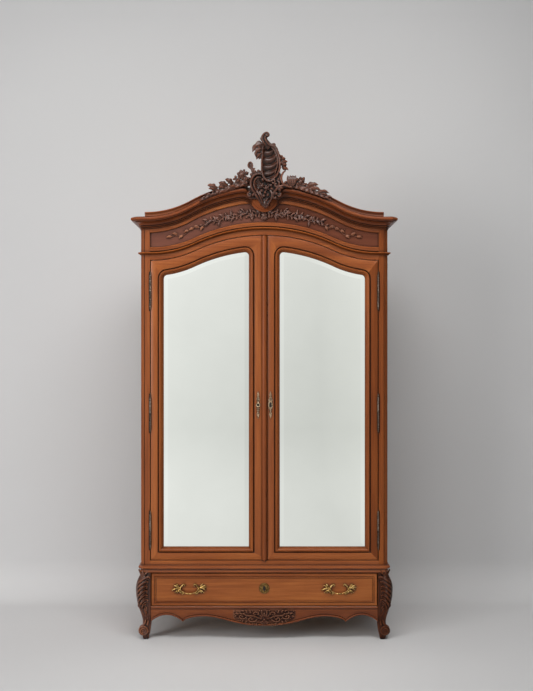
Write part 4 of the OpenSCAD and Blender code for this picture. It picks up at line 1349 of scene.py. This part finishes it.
# Oval cartouche at the lower left: two rims round a fan of ribs.
trace(centre, [(-8, 126, 60), (-26, 133, 64), (-46, 128, 66), (-60, 112, 67), (-66, 90, 67),
               (-64, 68, 67), (-54, 48, 65), (-42, 36, 62)], [4, 6, 7, 7, 7, 7, 6.5, 5])
trace(centre, [(-16, 116, 60), (-34, 116, 63), (-47, 102, 64), (-51, 82, 64), (-46, 62, 63),
               (-36, 48, 61)], [3, 4, 4.2, 4.2, 4, 3])
for k in range(7):
    a = math.radians(95 + 26 * k)
    trace(centre, [(-12, 76, 50), (-24 + 10 * math.cos(a), 80 + 18 * math.sin(a), 50),
                   (-28 + 19 * math.cos(a), 82 + 33 * math.sin(a), 58)], [3, 5, 6], 0.9)
for x, z, d, r, petals in ((-12, 76, 56, 14, 6), (12, 64, 58, 16, 5), (-14, 50, 56, 10, 5),
                           (34, 78, 58, 11, 5), (20, 84, 56, 8, 5), (-34, 40, 56, 8, 5)):
    flower(centre, cr(x, z, d), r, petals, turn=0.1 * x, rise=r * 0.3, deep=0.8)
# Scrolls at the right of the flowers and beside the drop.
for route, radii in (
        ([(98, 76, 62), (82, 73, 65), (66, 63, 66), (53, 47, 66), (44, 30, 62), (46, 15, 59),
          (56, 14, 59), (57, 24, 60)], [4.5, 6, 6.5, 6.5, 6.5, 5.6, 5, 4]),
        ([(62, 104, 60), (73, 90, 64), (70, 74, 66), (58, 70, 66), (53, 80, 66), (61, 85, 66)],
         [4, 5.5, 5.5, 5, 4.5, 3.4]),
        ([(34, 108, 64), (47, 104, 67), (52, 93, 67), (44, 86, 67), (38, 92, 67)],
         [3.5, 4.5, 4.5, 4, 3]),
        ([(28, 52, 60), (38, 38, 64), (38, 20, 62), (30, 2, 54), (18, -16, 44)],
         [5, 6, 6, 5.5, 4]),
        ([(-50, 44, 60), (-40, 26, 62), (-28, 8, 56), (-16, -12, 46)], [5.5, 6.5, 6, 4]),
        ([(-38, 50, 60), (-26, 30, 63), (-16, 10, 58), (-8, -10, 48)], [4, 5, 5, 3.5]),
        ([(-26, 48, 60), (-14, 30, 62), (-8, 14, 58)], [3.5, 4.5, 3.5])):
    trace(centre, route, radii)
for x, z, tx, tz, w in ((62, 58, 84, 46, 9), (74, 62, 92, 60, 8), (76, 98, 64, 110, 8),
                        (-48, 34, -60, 22, 9), (-58, 122, -70, 132, 10), (30, 60, 48, 50, 8),
                        (-44, 132, -52, 150, 11), (-28, 134, -30, 154, 11),
                        (-62, 96, -76, 104, 9), (-62, 74, -74, 74, 8), (-14, 132, -16, 150, 9),
                        (8, 92, 24, 98, 7), (-4, 96, -12, 108, 8), (52, 36, 66, 30, 8)):
    crest_leaf(centre, [(x, z, 58), ((x + tx) / 2, (z + tz) / 2 + 3, 66), (tx, tz, 60)], w,
               lift=4.5, lobes=2, thick=8, curl=1)
# Acanthus drop over the tablet.
for a, reach, w in ((268, 54, 15), (238, 42, 12), (300, 44, 12), (212, 30, 9), (328, 30, 9)):
    c, d = math.cos(math.radians(a)), math.sin(math.radians(a))
    crest_leaf(centre, [(5, 20, 36), (5 + 0.55 * reach * c, 20 + 0.55 * reach * d, 42),
                        (5 + reach * c, 20 + reach * d, 16)], w, lift=7, lobes=3, thick=12,
               curl=3)
for x, z, d, r in ((10, 4, 46, 9), (14, -20, 34, 6), (-2, 26, 56, 8), (18, 30, 58, 7),
                   (4, 42, 60, 7)):
    ball(centre, cr(x, z, d), r)
# Open bud on its stalk.
trace(centre, [(-50, 130, 54), (-58, 144, 58), (-64, 158, 59)], [8, 6, 5])
trace(centre, [(-65, 158, 59), (-78, 170, 60), (-77, 184, 60), (-69, 191, 60), (-61, 184, 60),
               (-59, 170, 60), (-65, 158, 59)], [4, 4.6, 4.6, 4.6, 4.6, 4.6, 4])
ball(centre, cr(-69, 174, 55), 8, 0.9, tall=1.7)
crest_leaf(centre, [(-60, 148, 58), (-50, 158, 62), (-44, 160, 60)], 7, lift=4, thick=6)
piece("crest_cartouche_carved", centre, walnut("Z", 12.0, "carved"), "carcass",
      ["crest_cartouche"], voxel=1.7, relax=1)


def crest_spray(name, node, stem, radii, roses, leaves, twigs, berries, extra=None):
    """Roses, broad leaves and twigs along a stem that lies on the cornice."""
    s = Shape()
    stroke(s, [cr(*p) for p in stem], radii, 0.55, count=80)
    for x, z, r, petals in roses:
        for scale, turn, d in ((1.0, 0.0, 54), (0.74, 0.5, 57), (0.48, 1.1, 60)):
            flower(s, cr(x, z, d), r * scale, petals, turn=x * 0.1 + turn, rise=r * 0.2,
                   deep=0.9)
        ball(s, cr(x, z, 46), r * 0.8, 0.7)
    for x, z, tx, tz, w in leaves:
        lift = 0.14 * abs(tx - x)
        leaf(s, [cr(x, z, 53), cr((x + tx) / 2, (z + tz) / 2 + lift, 62), cr(tx, tz, 57)], w,
             lift=5.5, lobes=3 if w > 11 else 2, thick=9, curl=2, blunt=0.7)
        stroke(s, [cr(x, z, 58), cr((x + tx) / 2, (z + tz) / 2 + lift, 68),
                   cr(tx, tz, 61)], [2.4, 2.6, 1.4], 0.8)
    for x, z, tx, tz, w in twigs:
        leaf(s, [cr(x, z, 53), cr((x + tx) / 2, (z + tz) / 2 + 2, 60), cr(tx, tz, 55)], w,
             lift=3.6, thick=5.0)
    for x, z, r in berries:
        ball(s, cr(x, z, 57), r, 0.9)
    if extra:
        extra(s)
    piece(name, s, walnut("X", 13.0, "carved"), "carcass", [node], voxel=1.7,
          relax=1)


def tulip(s):
    """A tulip seen from the side, with a scalloped mouth."""
    rows = []
    for z, r in ((68, 9), (76, 15), (90, 19), (106, 18), (116, 20), (122, 21)):
        rows.append([cr(135 + r * math.cos(a), z + (4.5 * math.cos(4 * a) if z > 120 else 0),
                        52 + 0.5 * r * math.sin(a))
                     for a in circle(24)])
    s.grid(rows)
    for dx in (-17, -6, 6, 17):
        crest_leaf(s, [(135 + dx * 0.4, 72, 62), (135 + dx, 100, 67), (135 + dx * 1.1, 128, 60)],
                   8, lift=3.5, thick=6.0, blunt=1.0, curl=2)


crest_spray("crest_spray_left_carved", "crest_spray_left",
            [(-56, 100, 42), (-92, 94, 46), (-140, 78, 50), (-196, 56, 52), (-250, 34, 53),
             (-318, 2, 54)], [22, 22, 17, 13, 9, 4],
            [(-112, 130, 25, 6), (-130, 99, 18, 5), (-88, 108, 17, 5), (-86, 138, 11, 5)],
            [(-156, 84, -194, 107, 16), (-182, 74, -226, 90, 13), (-206, 70, -222, 92, 10),
             (-232, 58, -282, 78, 15), (-240, 52, -276, 60, 10), (-142, 72, -168, 66, 10),
             (-196, 64, -230, 66, 11)],
            [(-168, 64, -190, 50, 8), (-196, 56, -222, 40, 8), (-222, 46, -248, 32, 8),
             (-244, 40, -270, 22, 7), (-262, 34, -290, 26, 7), (-270, 26, -296, 8, 7),
             (-286, 20, -314, 12, 6), (-294, 12, -322, -2, 6), (-120, 76, -148, 64, 8),
             (-96, 84, -120, 70, 8), (-214, 52, -240, 52, 7)],
            [(-100, 152, 6), (-88, 90, 8), (-150, 108, 6), (-168, 76, 6), (-212, 58, 5),
             (-254, 46, 5), (-142, 120, 7)])
crest_spray("crest_spray_right_carved", "crest_spray_right",
            [(90, 80, 42), (126, 80, 46), (166, 74, 50), (212, 58, 52), (262, 38, 53),
             (330, 8, 54)], [14, 15, 16, 13, 9, 4],
            [(180, 95, 21, 5), (162, 86, 13, 5), (198, 80, 12, 5)],
            [(204, 64, 268, 80, 17), (220, 60, 279, 54, 13), (262, 42, 322, 38, 11),
             (276, 34, 316, 24, 9), (100, 80, 110, 98, 9), (188, 96, 198, 117, 10),
             (166, 98, 162, 112, 9), (176, 104, 180, 118, 9), (214, 70, 232, 82, 10)],
            [(150, 72, 174, 58, 8), (178, 64, 202, 48, 8), (200, 56, 226, 40, 8),
             (226, 46, 252, 30, 7), (250, 40, 278, 22, 7), (276, 30, 302, 12, 7),
             (294, 24, 324, 8, 6), (306, 24, 338, 18, 6), (118, 74, 142, 62, 8),
             (240, 52, 264, 60, 7)],
            [(160, 74, 7), (206, 84, 6), (232, 50, 5.5), (112, 80, 8), (216, 78, 6)], tulip)

# ---------------------------------------------------------------- doors

DOOR_LOW = box_mm("right_door_stiles")[0][2]
DOOR_T = 27
EDGE = POST_IN - 4
MIRROR_IN = 77.5
MIRROR_OUT = HALF - 113.5
MIRROR_LOW = 463.5
MIRROR_DROP = 76
CORNER_R = 19
ARC = 6
TOP = 24


def opening(d):
    """Outline of the mirror opening grown by d, always with the same number of points."""
    x0, x1 = MIRROR_IN - d, MIRROR_OUT + d
    r = max(CORNER_R + d, 1.0)

    def edge(x):
        return head(x) - MIRROR_DROP + d

    def corner(x, sign):
        cx = x - sign * r
        m = (edge(cx + 1) - edge(cx - 1)) / 2
        cz = edge(cx) - r * math.sqrt(1 + m * m)
        out = []
        for i in range(ARC + 1):
            t = i / ARC
            a = t * (math.pi / 2 + math.atan(m)) if sign > 0 else \
                math.pi - t * (math.pi / 2 - math.atan(m))
            out.append((cx + r * math.cos(a), cz + r * math.sin(a)))
        return out

    pts = [(x0, MIRROR_LOW - d), (x1, MIRROR_LOW - d)] + corner(x1, 1)
    pts += [(x, edge(x)) for x in spread(x1 - r, x0 + r, TOP + 1)[1:-1]]
    return pts + list(reversed(corner(x0, -1)))


# Places in that outline: the mitre at the hinge stile, the start of the second corner, the
# mitre at the meeting stile, and the number of points.
HINGE_MITRE = 2 + ARC // 2
SECOND_CORNER = 2 + (ARC + 1) + TOP
MEETING_MITRE = SECOND_CORNER + ARC // 2
COUNT = SECOND_CORNER + ARC + 1


def door_outline(edge_in, e):
    """The door's edge drawn in by e, with as many points as the opening."""
    x0, x1 = edge_in + e, EDGE - e
    pts = [(x0, DOOR_LOW + e), (x1, DOOR_LOW + e)]
    for i in range(2, COUNT):
        t = min(max((i - HINGE_MITRE) / (MEETING_MITRE - HINGE_MITRE), 0.0), 1.0)
        x = x1 + (x0 - x1) * t
        pts.append((x, head(x) - e))
    return pts


def door_rings(edge_in):
    """Rings from the back of the door round its edge and over its face to the mirror."""
    def out(e, y):
        return [(x, FRONT + y, z) for x, z in door_outline(edge_in, e)]

    def hole(d, y):
        return [(x, FRONT + y, z) for x, z in opening(d)]

    section = [(29.6, 0), (28.7, 0.4), (28.2, 1.8), (27.8, 4.8), (26.4, 6.0), (24.4, 6.0),
               (23.2, 4.6), (22.9, 1.4), (22.2, -1.4), (20.6, -3.4), (18, -4.2), (15, -3.6),
               (11.5, -1.0), (8.2, 2.8), (5.2, 6.4), (4.0, 7.6), (3.8, 9.2), (2.0, 9.6),
               (0.7, 10.8), (0.0, 13.0), (0.0, 14.0), (10.0, 14.0), (10.0, DOOR_T)]
    rings = [out(0, DOOR_T), out(0, 1.6), out(0.5, 0.45), out(1.6, 0)]
    return rings + [hole(d, y) for d, y in section]


# The rings between which the moulding beside the mirror lies.
MOULD_FROM, MOULD_TO = 8, 22


def member(shape, rings, indices, flat=0):
    """One stile or rail: its face in one tone and the moulding beside the mirror in a darker one,
    which is painted shade.
    """
    start = len(shape.kinds)
    shape.grid([[ring[i] for ring in rings] for i in indices], kind=flat)
    for k in range(start, start + (len(indices) - 1) * len(rings)):
        if MOULD_FROM <= (k - start) % len(rings) < MOULD_TO:
            shape.kinds[k] = 1


MEETING = 18
GAP = 3
for side, word, edge_in in ((1, "right", MEETING), (-1, "left", -MEETING + GAP)):
    rings = door_rings(edge_in)
    stiles, rails = Shape(), Shape()
    # The right door's hinge stile takes the shaded tone, walnut darkened as painted shade.
    member(stiles, rings, list(range(1, HINGE_MITRE + 1)), 2 if side > 0 else 0)
    member(stiles, rings, list(range(MEETING_MITRE, COUNT)) + [0])
    member(rails, rings, [0, 1])
    member(rails, rings, list(range(HINGE_MITRE, MEETING_MITRE + 1)))
    pane = Shape()
    bevel_in = opening(-21.5)
    layers = [[(x, FRONT + y, z) for x, z in ring] for ring, y in (
        (bevel_in, 14.3), (opening(0.6), 15.7), (opening(9), 16.3), (opening(9), 19))]
    pane.grid(layers)
    if side < 0:
        stiles, rails, pane = stiles.mirrored(), rails.mirrored(), pane.mirrored()
    shift = 20.0 + side
    piece(f"{word}_stiles", stiles,
          [walnut("Z", shift), walnut("Z", shift + 1, "sash_painted_shade"), walnut("Z", shift + 2, "shaded")],
          f"{word}_door", [f"{word}_door_stiles"])
    rails_piece = piece(f"{word}_rails", rails,
                        [walnut("X", shift + 4), walnut("X", shift + 5, "sash_painted_shade")],
                        f"{word}_door", [f"{word}_door_rails"])
    if side > 0:
        # Sockets for its two flush bolts.
        for z, way in ((DOOR_LOW, -1), (head(BOLT_X), 1)):
            open_socket(rails_piece, 18.12, 26, FRONT + 9, FRONT + 19, z, way)
    piece(f"{word}_mirror_pane", pane, MIRROR, f"{word}_door",
          [f"{word}_mirror"], crease=1.0)

strip = Shape()
COVER = [(15.4, 0), (15.4, 1.6), (14.6, 2.4), (12.8, 2.6), (12.0, 2.0), (11.4, 3.4), (9.6, 6.6),
         (6.4, 9.2), (2.4, 10.6), (-2.4, 10.6), (-6.4, 9.2), (-9.6, 6.6), (-11.4, 3.4),
         (-12.0, 2.0), (-12.8, 2.6), (-14.6, 2.4), (-15.4, 1.6), (-15.4, 0)]
strip.grid([[(x, FRONT - p, DOOR_LOW + 1) for x, p in COVER],
            [(x, FRONT - p, head(x) - 1.0) for x, p in COVER]])
strip.lathe((0, FRONT - 5.4, 0), (0, 0, 1),
            [(0.1, DOOR_LOW + 1), (4.6, DOOR_LOW + 1), (4.6, DOOR_LOW - 3), (3.8, DOOR_LOW - 6),
             (2.0, DOOR_LOW - 8.4), (0.1, DOOR_LOW - 9)])
piece("cover_strip", strip, walnut("Z", 30.0, "cornice"), "left_door", ["astragal"])

# ---- Key plates: a ring at the keyhole, long pierced spindles above and below
KEY_Z = 1175


def keyhole(word, body, x, z, r, tall, depths):
    """The keyhole, a solid in near-black painted shade: two half circles with straight sides
    between them.
    """
    dark = Shape()
    outline = [(r * math.cos(a), r * math.sin(a) + (tall if math.sin(a) > 0 else -tall))
               for a in circle(20)]
    dark.grid([[(x + px, FRONT + d, z + pz) for px, pz in outline] for d in depths])
    piece(f"{word}_keyhole", dark, PAINTED_HOLE_SHADE, body)


def key_plate(word, body, x, hole_long):
    """Slender pierced plate: a ring, an almond above, knobs and an almond below."""
    s = Shape()
    y = FRONT - 1.2

    def at(dx, dz, d=0.0):
        return (x + dx, y - d, KEY_Z + dz)

    tall = 6.5 if hole_long else 0.0
    ring = [at(8.4 * math.cos(a), 9.2 * math.sin(a) + (tall if math.sin(a) > 0 else -tall), 1.6)
            for a in spread(0, 2 * math.pi, 24)]
    band = Shape()
    stroke(band, ring, [2.3], 1.0, count=80)
    piece(f"{word}_key_ring", band, PALE_BRASS, body)
    plate = [[at(r * math.cos(a), (1.9 if hole_long else 1.1) * r * math.sin(a), d)
              for a in circle(24)]
             for r, d in ((9, -1), (9, 0.4), (5.0, 0.6), (4.4, 0.0), (4.4, -1))]
    s.grid(plate)
    for side in (1, -1):
        stroke(s, [at(side * 1.5, 12, 1), at(side * 4.6, 20, 1.6), at(side * 5.6, 28, 1.8),
                   at(side * 3.4, 37, 1.6), at(side * 1.6, 42, 1.4), at(side * 3.8, 48, 1.4),
                   at(side * 2.6, 57, 1.2), at(0, 68, 0.6)],
               [1.6, 1.9, 2.0, 1.7, 1.5, 1.6, 1.4, 0.8], 1.0)
        stroke(s, [at(side * 1.5, -36, 1.2), at(side * 4.8, -43, 1.6), at(side * 4.4, -51, 1.6),
                   at(side * 1.8, -60, 1.2), at(0, -68, 0.6)], [1.5, 1.9, 1.8, 1.3, 0.8], 1.0)
        ball(s, at(side * 6.2, -18, 1.2), 2.5)
        ball(s, at(side * 5.6, -28, 1.2), 2.1)
        if hole_long:
            stroke(s, [at(side * 3, 16, 1.4), at(side * 8.6, 20, 2.2), at(side * 9.0, 27, 2.2),
                       at(side * 5.6, 27, 1.8)], [1.6, 2.0, 1.7, 1.4])
    for dz, r in ((-14.5, 3.6), (-21.5, 4.3), (-29, 3.7), (-35, 2.8), (14, 3.0), (28, 2.6),
                  (42.5, 2.8)):
        ball(s, at(0, dz, 1.2), r, 0.9)
    for low, high, w in ((18, 40, 2.0), (44, 64, 1.8), (-40, -64, 2.4)):
        leaf(s, [at(0, low, 0.6), at(0, (low + high) / 2, 1.6), at(0, high, 0.6)], w, lift=1.4,
             thick=1.0)
    piece(f"{word}_key_plate", s, KEY_BRASS, body, [f"{word}_escutcheon"],
          voxel=0.55, relax=1)
    keyhole(word, body, x, KEY_Z, 5.6, 7.4 if hole_long else 0.4, (-3.0, 4))


key_plate("left", "left_door", -31, False)
key_plate("right", "right_door", 31, True)

# ---- Fiche hinges: a slim barrel in two halves with turned finials
PIN_X = POST_IN - 2
PIN_Y = FRONT - 1
HINGE_L = 195
HINGE_LOW = (450, 1035, 1645)
FINIAL = [(0.1, 0), (1.3, 0.8), (2.4, 4), (3.4, 9), (3.6, 12), (2.4, 15), (2.4, 16.4),
          (4.4, 17.4), (4.9, 19.5), (4.9, 21), (4.4, 22.6)]
half_l = HINGE_L / 2
LOWER = FINIAL + [(4.75, 24), (4.75, half_l - 2.2), (5.1, half_l - 1.6), (5.1, half_l - 0.3),
                  (0.1, half_l - 0.3)]
UPPER = [(0.1, half_l + 0.3), (5.1, half_l + 0.3), (5.1, half_l + 1.6), (4.75, half_l + 2.2),
         (4.75, HINGE_L - 24)] + [(r, HINGE_L - z) for r, z in reversed(FINIAL)]
fixed, loose = Shape(), Shape()
for z in HINGE_LOW:
    fixed.lathe((PIN_X, PIN_Y, z), (0, 0, 1), LOWER)
    fixed.lathe((PIN_X, PIN_Y, z), (0, 0, 1), [(0.1, half_l - 1), (2.9, half_l - 1),
                                               (2.9, HINGE_L - 30), (0.1, HINGE_L - 29)])
    fixed.block((PIN_X + 0.3, PIN_Y + 1, z + 24), (POST_IN - 0.1, FRONT + 24, z + half_l - 1))
    loose.lathe((PIN_X, PIN_Y, z), (0, 0, 1), UPPER)
    loose.block((EDGE + 0.1, PIN_Y + 1, z + half_l + 1), (PIN_X - 0.3, FRONT + 24,
                                                        z + HINGE_L - 24))
piece("hinge_barrels_fixed", fixed.mirrored(both=True), PINS, "carcass", ["hinge_pins"])
piece("right_hinge_barrels", loose, PINS, "right_door", ["right_door_knuckles"])
piece("left_hinge_barrels", loose.mirrored(), PINS, "left_door", ["left_door_knuckles"])

# ---------------------------------------------------------------- drawer

drawer_low, drawer_high = box_mm("drawer_front")
x1, z0, z1 = drawer_high[0], drawer_low[2], drawer_high[2]


def frame_ring(e, y):
    """The drawer front's outline, drawn in by e."""
    return [(x, FRONT + y, z) for x, z in ((-x1 + e, z0 + e), (x1 - e, z0 + e),
                                           (x1 - e, z1 - e), (-x1 + e, z1 - e))]


board = Shape()
board.grid([frame_ring(e, y) for e, y in (
    (0, 21), (0, 0.6), (1.4, -1.0), (13.6, -1.0), (14.2, 0.8), (15.4, 0.8), (16.0, -1.0),
    (17.4, -2.4), (19.2, -2.8), (21.0, -2.2), (22.2, -0.6), (22.6, 1.0), (23.8, 1.0),
    (24.4, -0.8))])
piece("drawer_board", board, walnut("X", 40.0, "drawer"), "drawer", ["drawer_front"])

HANDLE_Z = 257
for word, hx in (("left", -374), ("right", 374)):
    s = Shape()

    def at(dx, dz, d=0.0):
        return (hx + dx, FRONT - 3.2 - d, HANDLE_Z + dz)

    for m in (-1, 1):
        stroke(s, [at(m * 34, 16, 2), at(m * 42, 8, 3), at(m * 48, 0, 3), at(m * 50, -10, 2),
                   at(m * 42, -20, 2), at(m * 34, -26, 2), at(m * 29, -22, 3),
                   at(m * 32, -17, 3)], [2.2, 4.0, 5.0, 4.4, 3.8, 3.4, 2.8, 2.2], 0.8)
        stroke(s, [at(m * 46, 2, 2), at(m * 38, 14, 3), at(m * 28, 22, 3), at(m * 22, 17, 3),
                   at(m * 27, 12, 3)], [4.0, 3.4, 3.0, 2.6, 2.0], 0.8)
        for dx, dz, tx, tz, w in ((48, 2, 88, 8 if m > 0 else -6, 5.0), (54, 6, 66, 24, 4.6),
                                  (62, 2, 84, -8, 4.0), (50, -4, 62, -24, 4.6),
                                  (56, 4, 80, 18, 3.8), (52, -8, 74, -20, 3.8)):
            leaf(s, [at(m * dx, dz, 1), at(m * (dx + tx) / 2, (dz + tz) / 2 + 2, 4),
                     at(m * tx, tz, 1.5)], w, lift=2.4, thick=2.2)
            ball(s, at(m * tx * 0.985, tz * 0.98, 2.2), 2.2)
        stroke(s, [(hx + m * 46, FRONT - 2, HANDLE_Z), (hx + m * 46, FRONT - 12, HANDLE_Z),
                   (hx + m * 46, FRONT - 19, HANDLE_Z)], [4.5, 4.0, 5.2], 1.0,
               facing=Vector((0, 0, 1)))
        ball(s, (hx + m * 46, FRONT - 17, HANDLE_Z), 6.2)
    piece(f"handle_plate_{word}", s, BRASS, "drawer", ["handle_plates"], voxel=0.9,
          relax=1)
    b = Shape()
    stroke(b, [(hx + dx, FRONT - 17 - d, HANDLE_Z + dz) for dx, dz, d in (
        (-46, 0, 0), (-42, -6, 0), (-33, -14, 0), (-18, -20, 0.5), (0, -22.5, 1),
        (18, -20, 0.5), (33, -14, 0), (42, -6, 0), (46, 0, 0))],
        [2.2, 2.4, 2.3, 2.7, 3.5, 2.7, 2.3, 2.4, 2.2], 1.0, count=60)
    for dx in (-9, 9):
        ball(b, (hx + dx, FRONT - 18, HANDLE_Z - 22), 4.0)
    for dx in (-32, 32):
        ball(b, (hx + dx, FRONT - 17, HANDLE_Z - 14.5), 3.6)
    piece(f"bail_{word}_cast", b, BRASS, f"bail_{word}", [f"bail_{word}"], voxel=0.8,
          relax=1)

rose = Shape()
LOCK_Z = 258
plate_rows = []
for r, d in ((25, 0), (25.5, 1.4), (24.6, 2.6), (22.6, 3.0), (20.8, 2.2), (19.4, 2.4),
             (16, 3.6), (10, 4.4), (8, 4.2), (7.4, 3.0)):
    plate_rows.append([(r * (1 + (0.02 * math.cos(12 * a) if r > 20 else 0)) * math.cos(a),
                        FRONT - 1 - d, LOCK_Z + 1.04 * r * math.sin(a))
                       for a in circle(48)])
rose.grid(plate_rows)
for k in range(12):
    a = 2 * math.pi * k / 12
    stroke(rose, [(12 * math.cos(a), FRONT - 5, LOCK_Z + 12 * math.sin(a)),
                  (19 * math.cos(a), FRONT - 4, LOCK_Z + 19 * math.sin(a))], [1.2, 1.8], 0.7)
piece("drawer_key_plate", rose, DULL_BRASS, "drawer", ["handle_plates"])
keyhole("drawer", "drawer", 0, LOCK_Z, 5.0, 6.5, (-6.2, 2))

# ---------------------------------------------------------------- sides

panel_low, panel_high = box_mm("side_panels")
sides = Shape()
y0, y1 = panel_low[1], panel_high[1]
pz0, pz1 = panel_low[2], panel_high[2]


def side_ring(e, x):
    """The side panel's outline, drawn in by e."""
    return [(x, y0 + e, pz0 + e), (x, y1 - e, pz0 + e), (x, y1 - e, pz1 - e),
            (x, y0 + e, pz1 - e)]


sides.grid([side_ring(e, x) for e, x in (
    (0, HALF - 15), (0, HALF - 0.5), (1.5, HALF + 1.5), (7, HALF + 2.2), (10, HALF + 0.6),
    (14, HALF - 5), (17, HALF - 7.5), (20, HALF - 8), (48, HALF - 3.6), (50, HALF - 2.6))])
piece("side_fields", sides.mirrored(both=True), walnut("Z", 50.0), "carcass",
      ["side_panels"])

# ---------------------------------------------------------------- carried-over nodes

# Grain and tone of each wooden node; the shift counts up, so that no two boards match.
LOOKS = (
    ("rear_legs", "Z", "walnut"), ("base_boards", "Y", "walnut"), ("drawer_runners", "Y", "oak"),
    ("dust_board", "X", "oak"), ("corner_post_left", "Z", "walnut"),
    # The right corner post takes the shaded tone, walnut darkened as painted shade.
    ("corner_post_right", "Z", "shaded"), ("side_frames", "Z", "walnut"),
    ("back_frame", "Z", "oak"), ("back_panels", "Z", "oak"), ("bottom_board", "X", "walnut"),
    ("top_board", "X", "oak"), ("hat_shelf", "X", "oak"), ("shelf_cleats", "Y", "oak"),
    ("left_mirror_back", "Z", "oak"), ("right_mirror_back", "Z", "oak"),
    ("drawer_box", "Y", "oak"), ("drawer_bottom", "X", "oak"),
)
for shift, (node, grain, tone) in enumerate(LOOKS, 60):
    dress(node, walnut(grain, float(shift), tone), 1.0)
for material, bevel, nodes in (
        (DULL_BRASS, 0.4, ("hanging_rail", "rail_sockets")),
        (DULL_BRASS, 0.5, ("door_lock_bolt", "drawer_lock_bolt")),
        (IRON, 0.5, ("door_lock_case", "lock_keeper", "upper_flush_bolt", "lower_flush_bolt",
                     "drawer_lock_case"))):
    for node in nodes:
        dress(node, material, bevel)
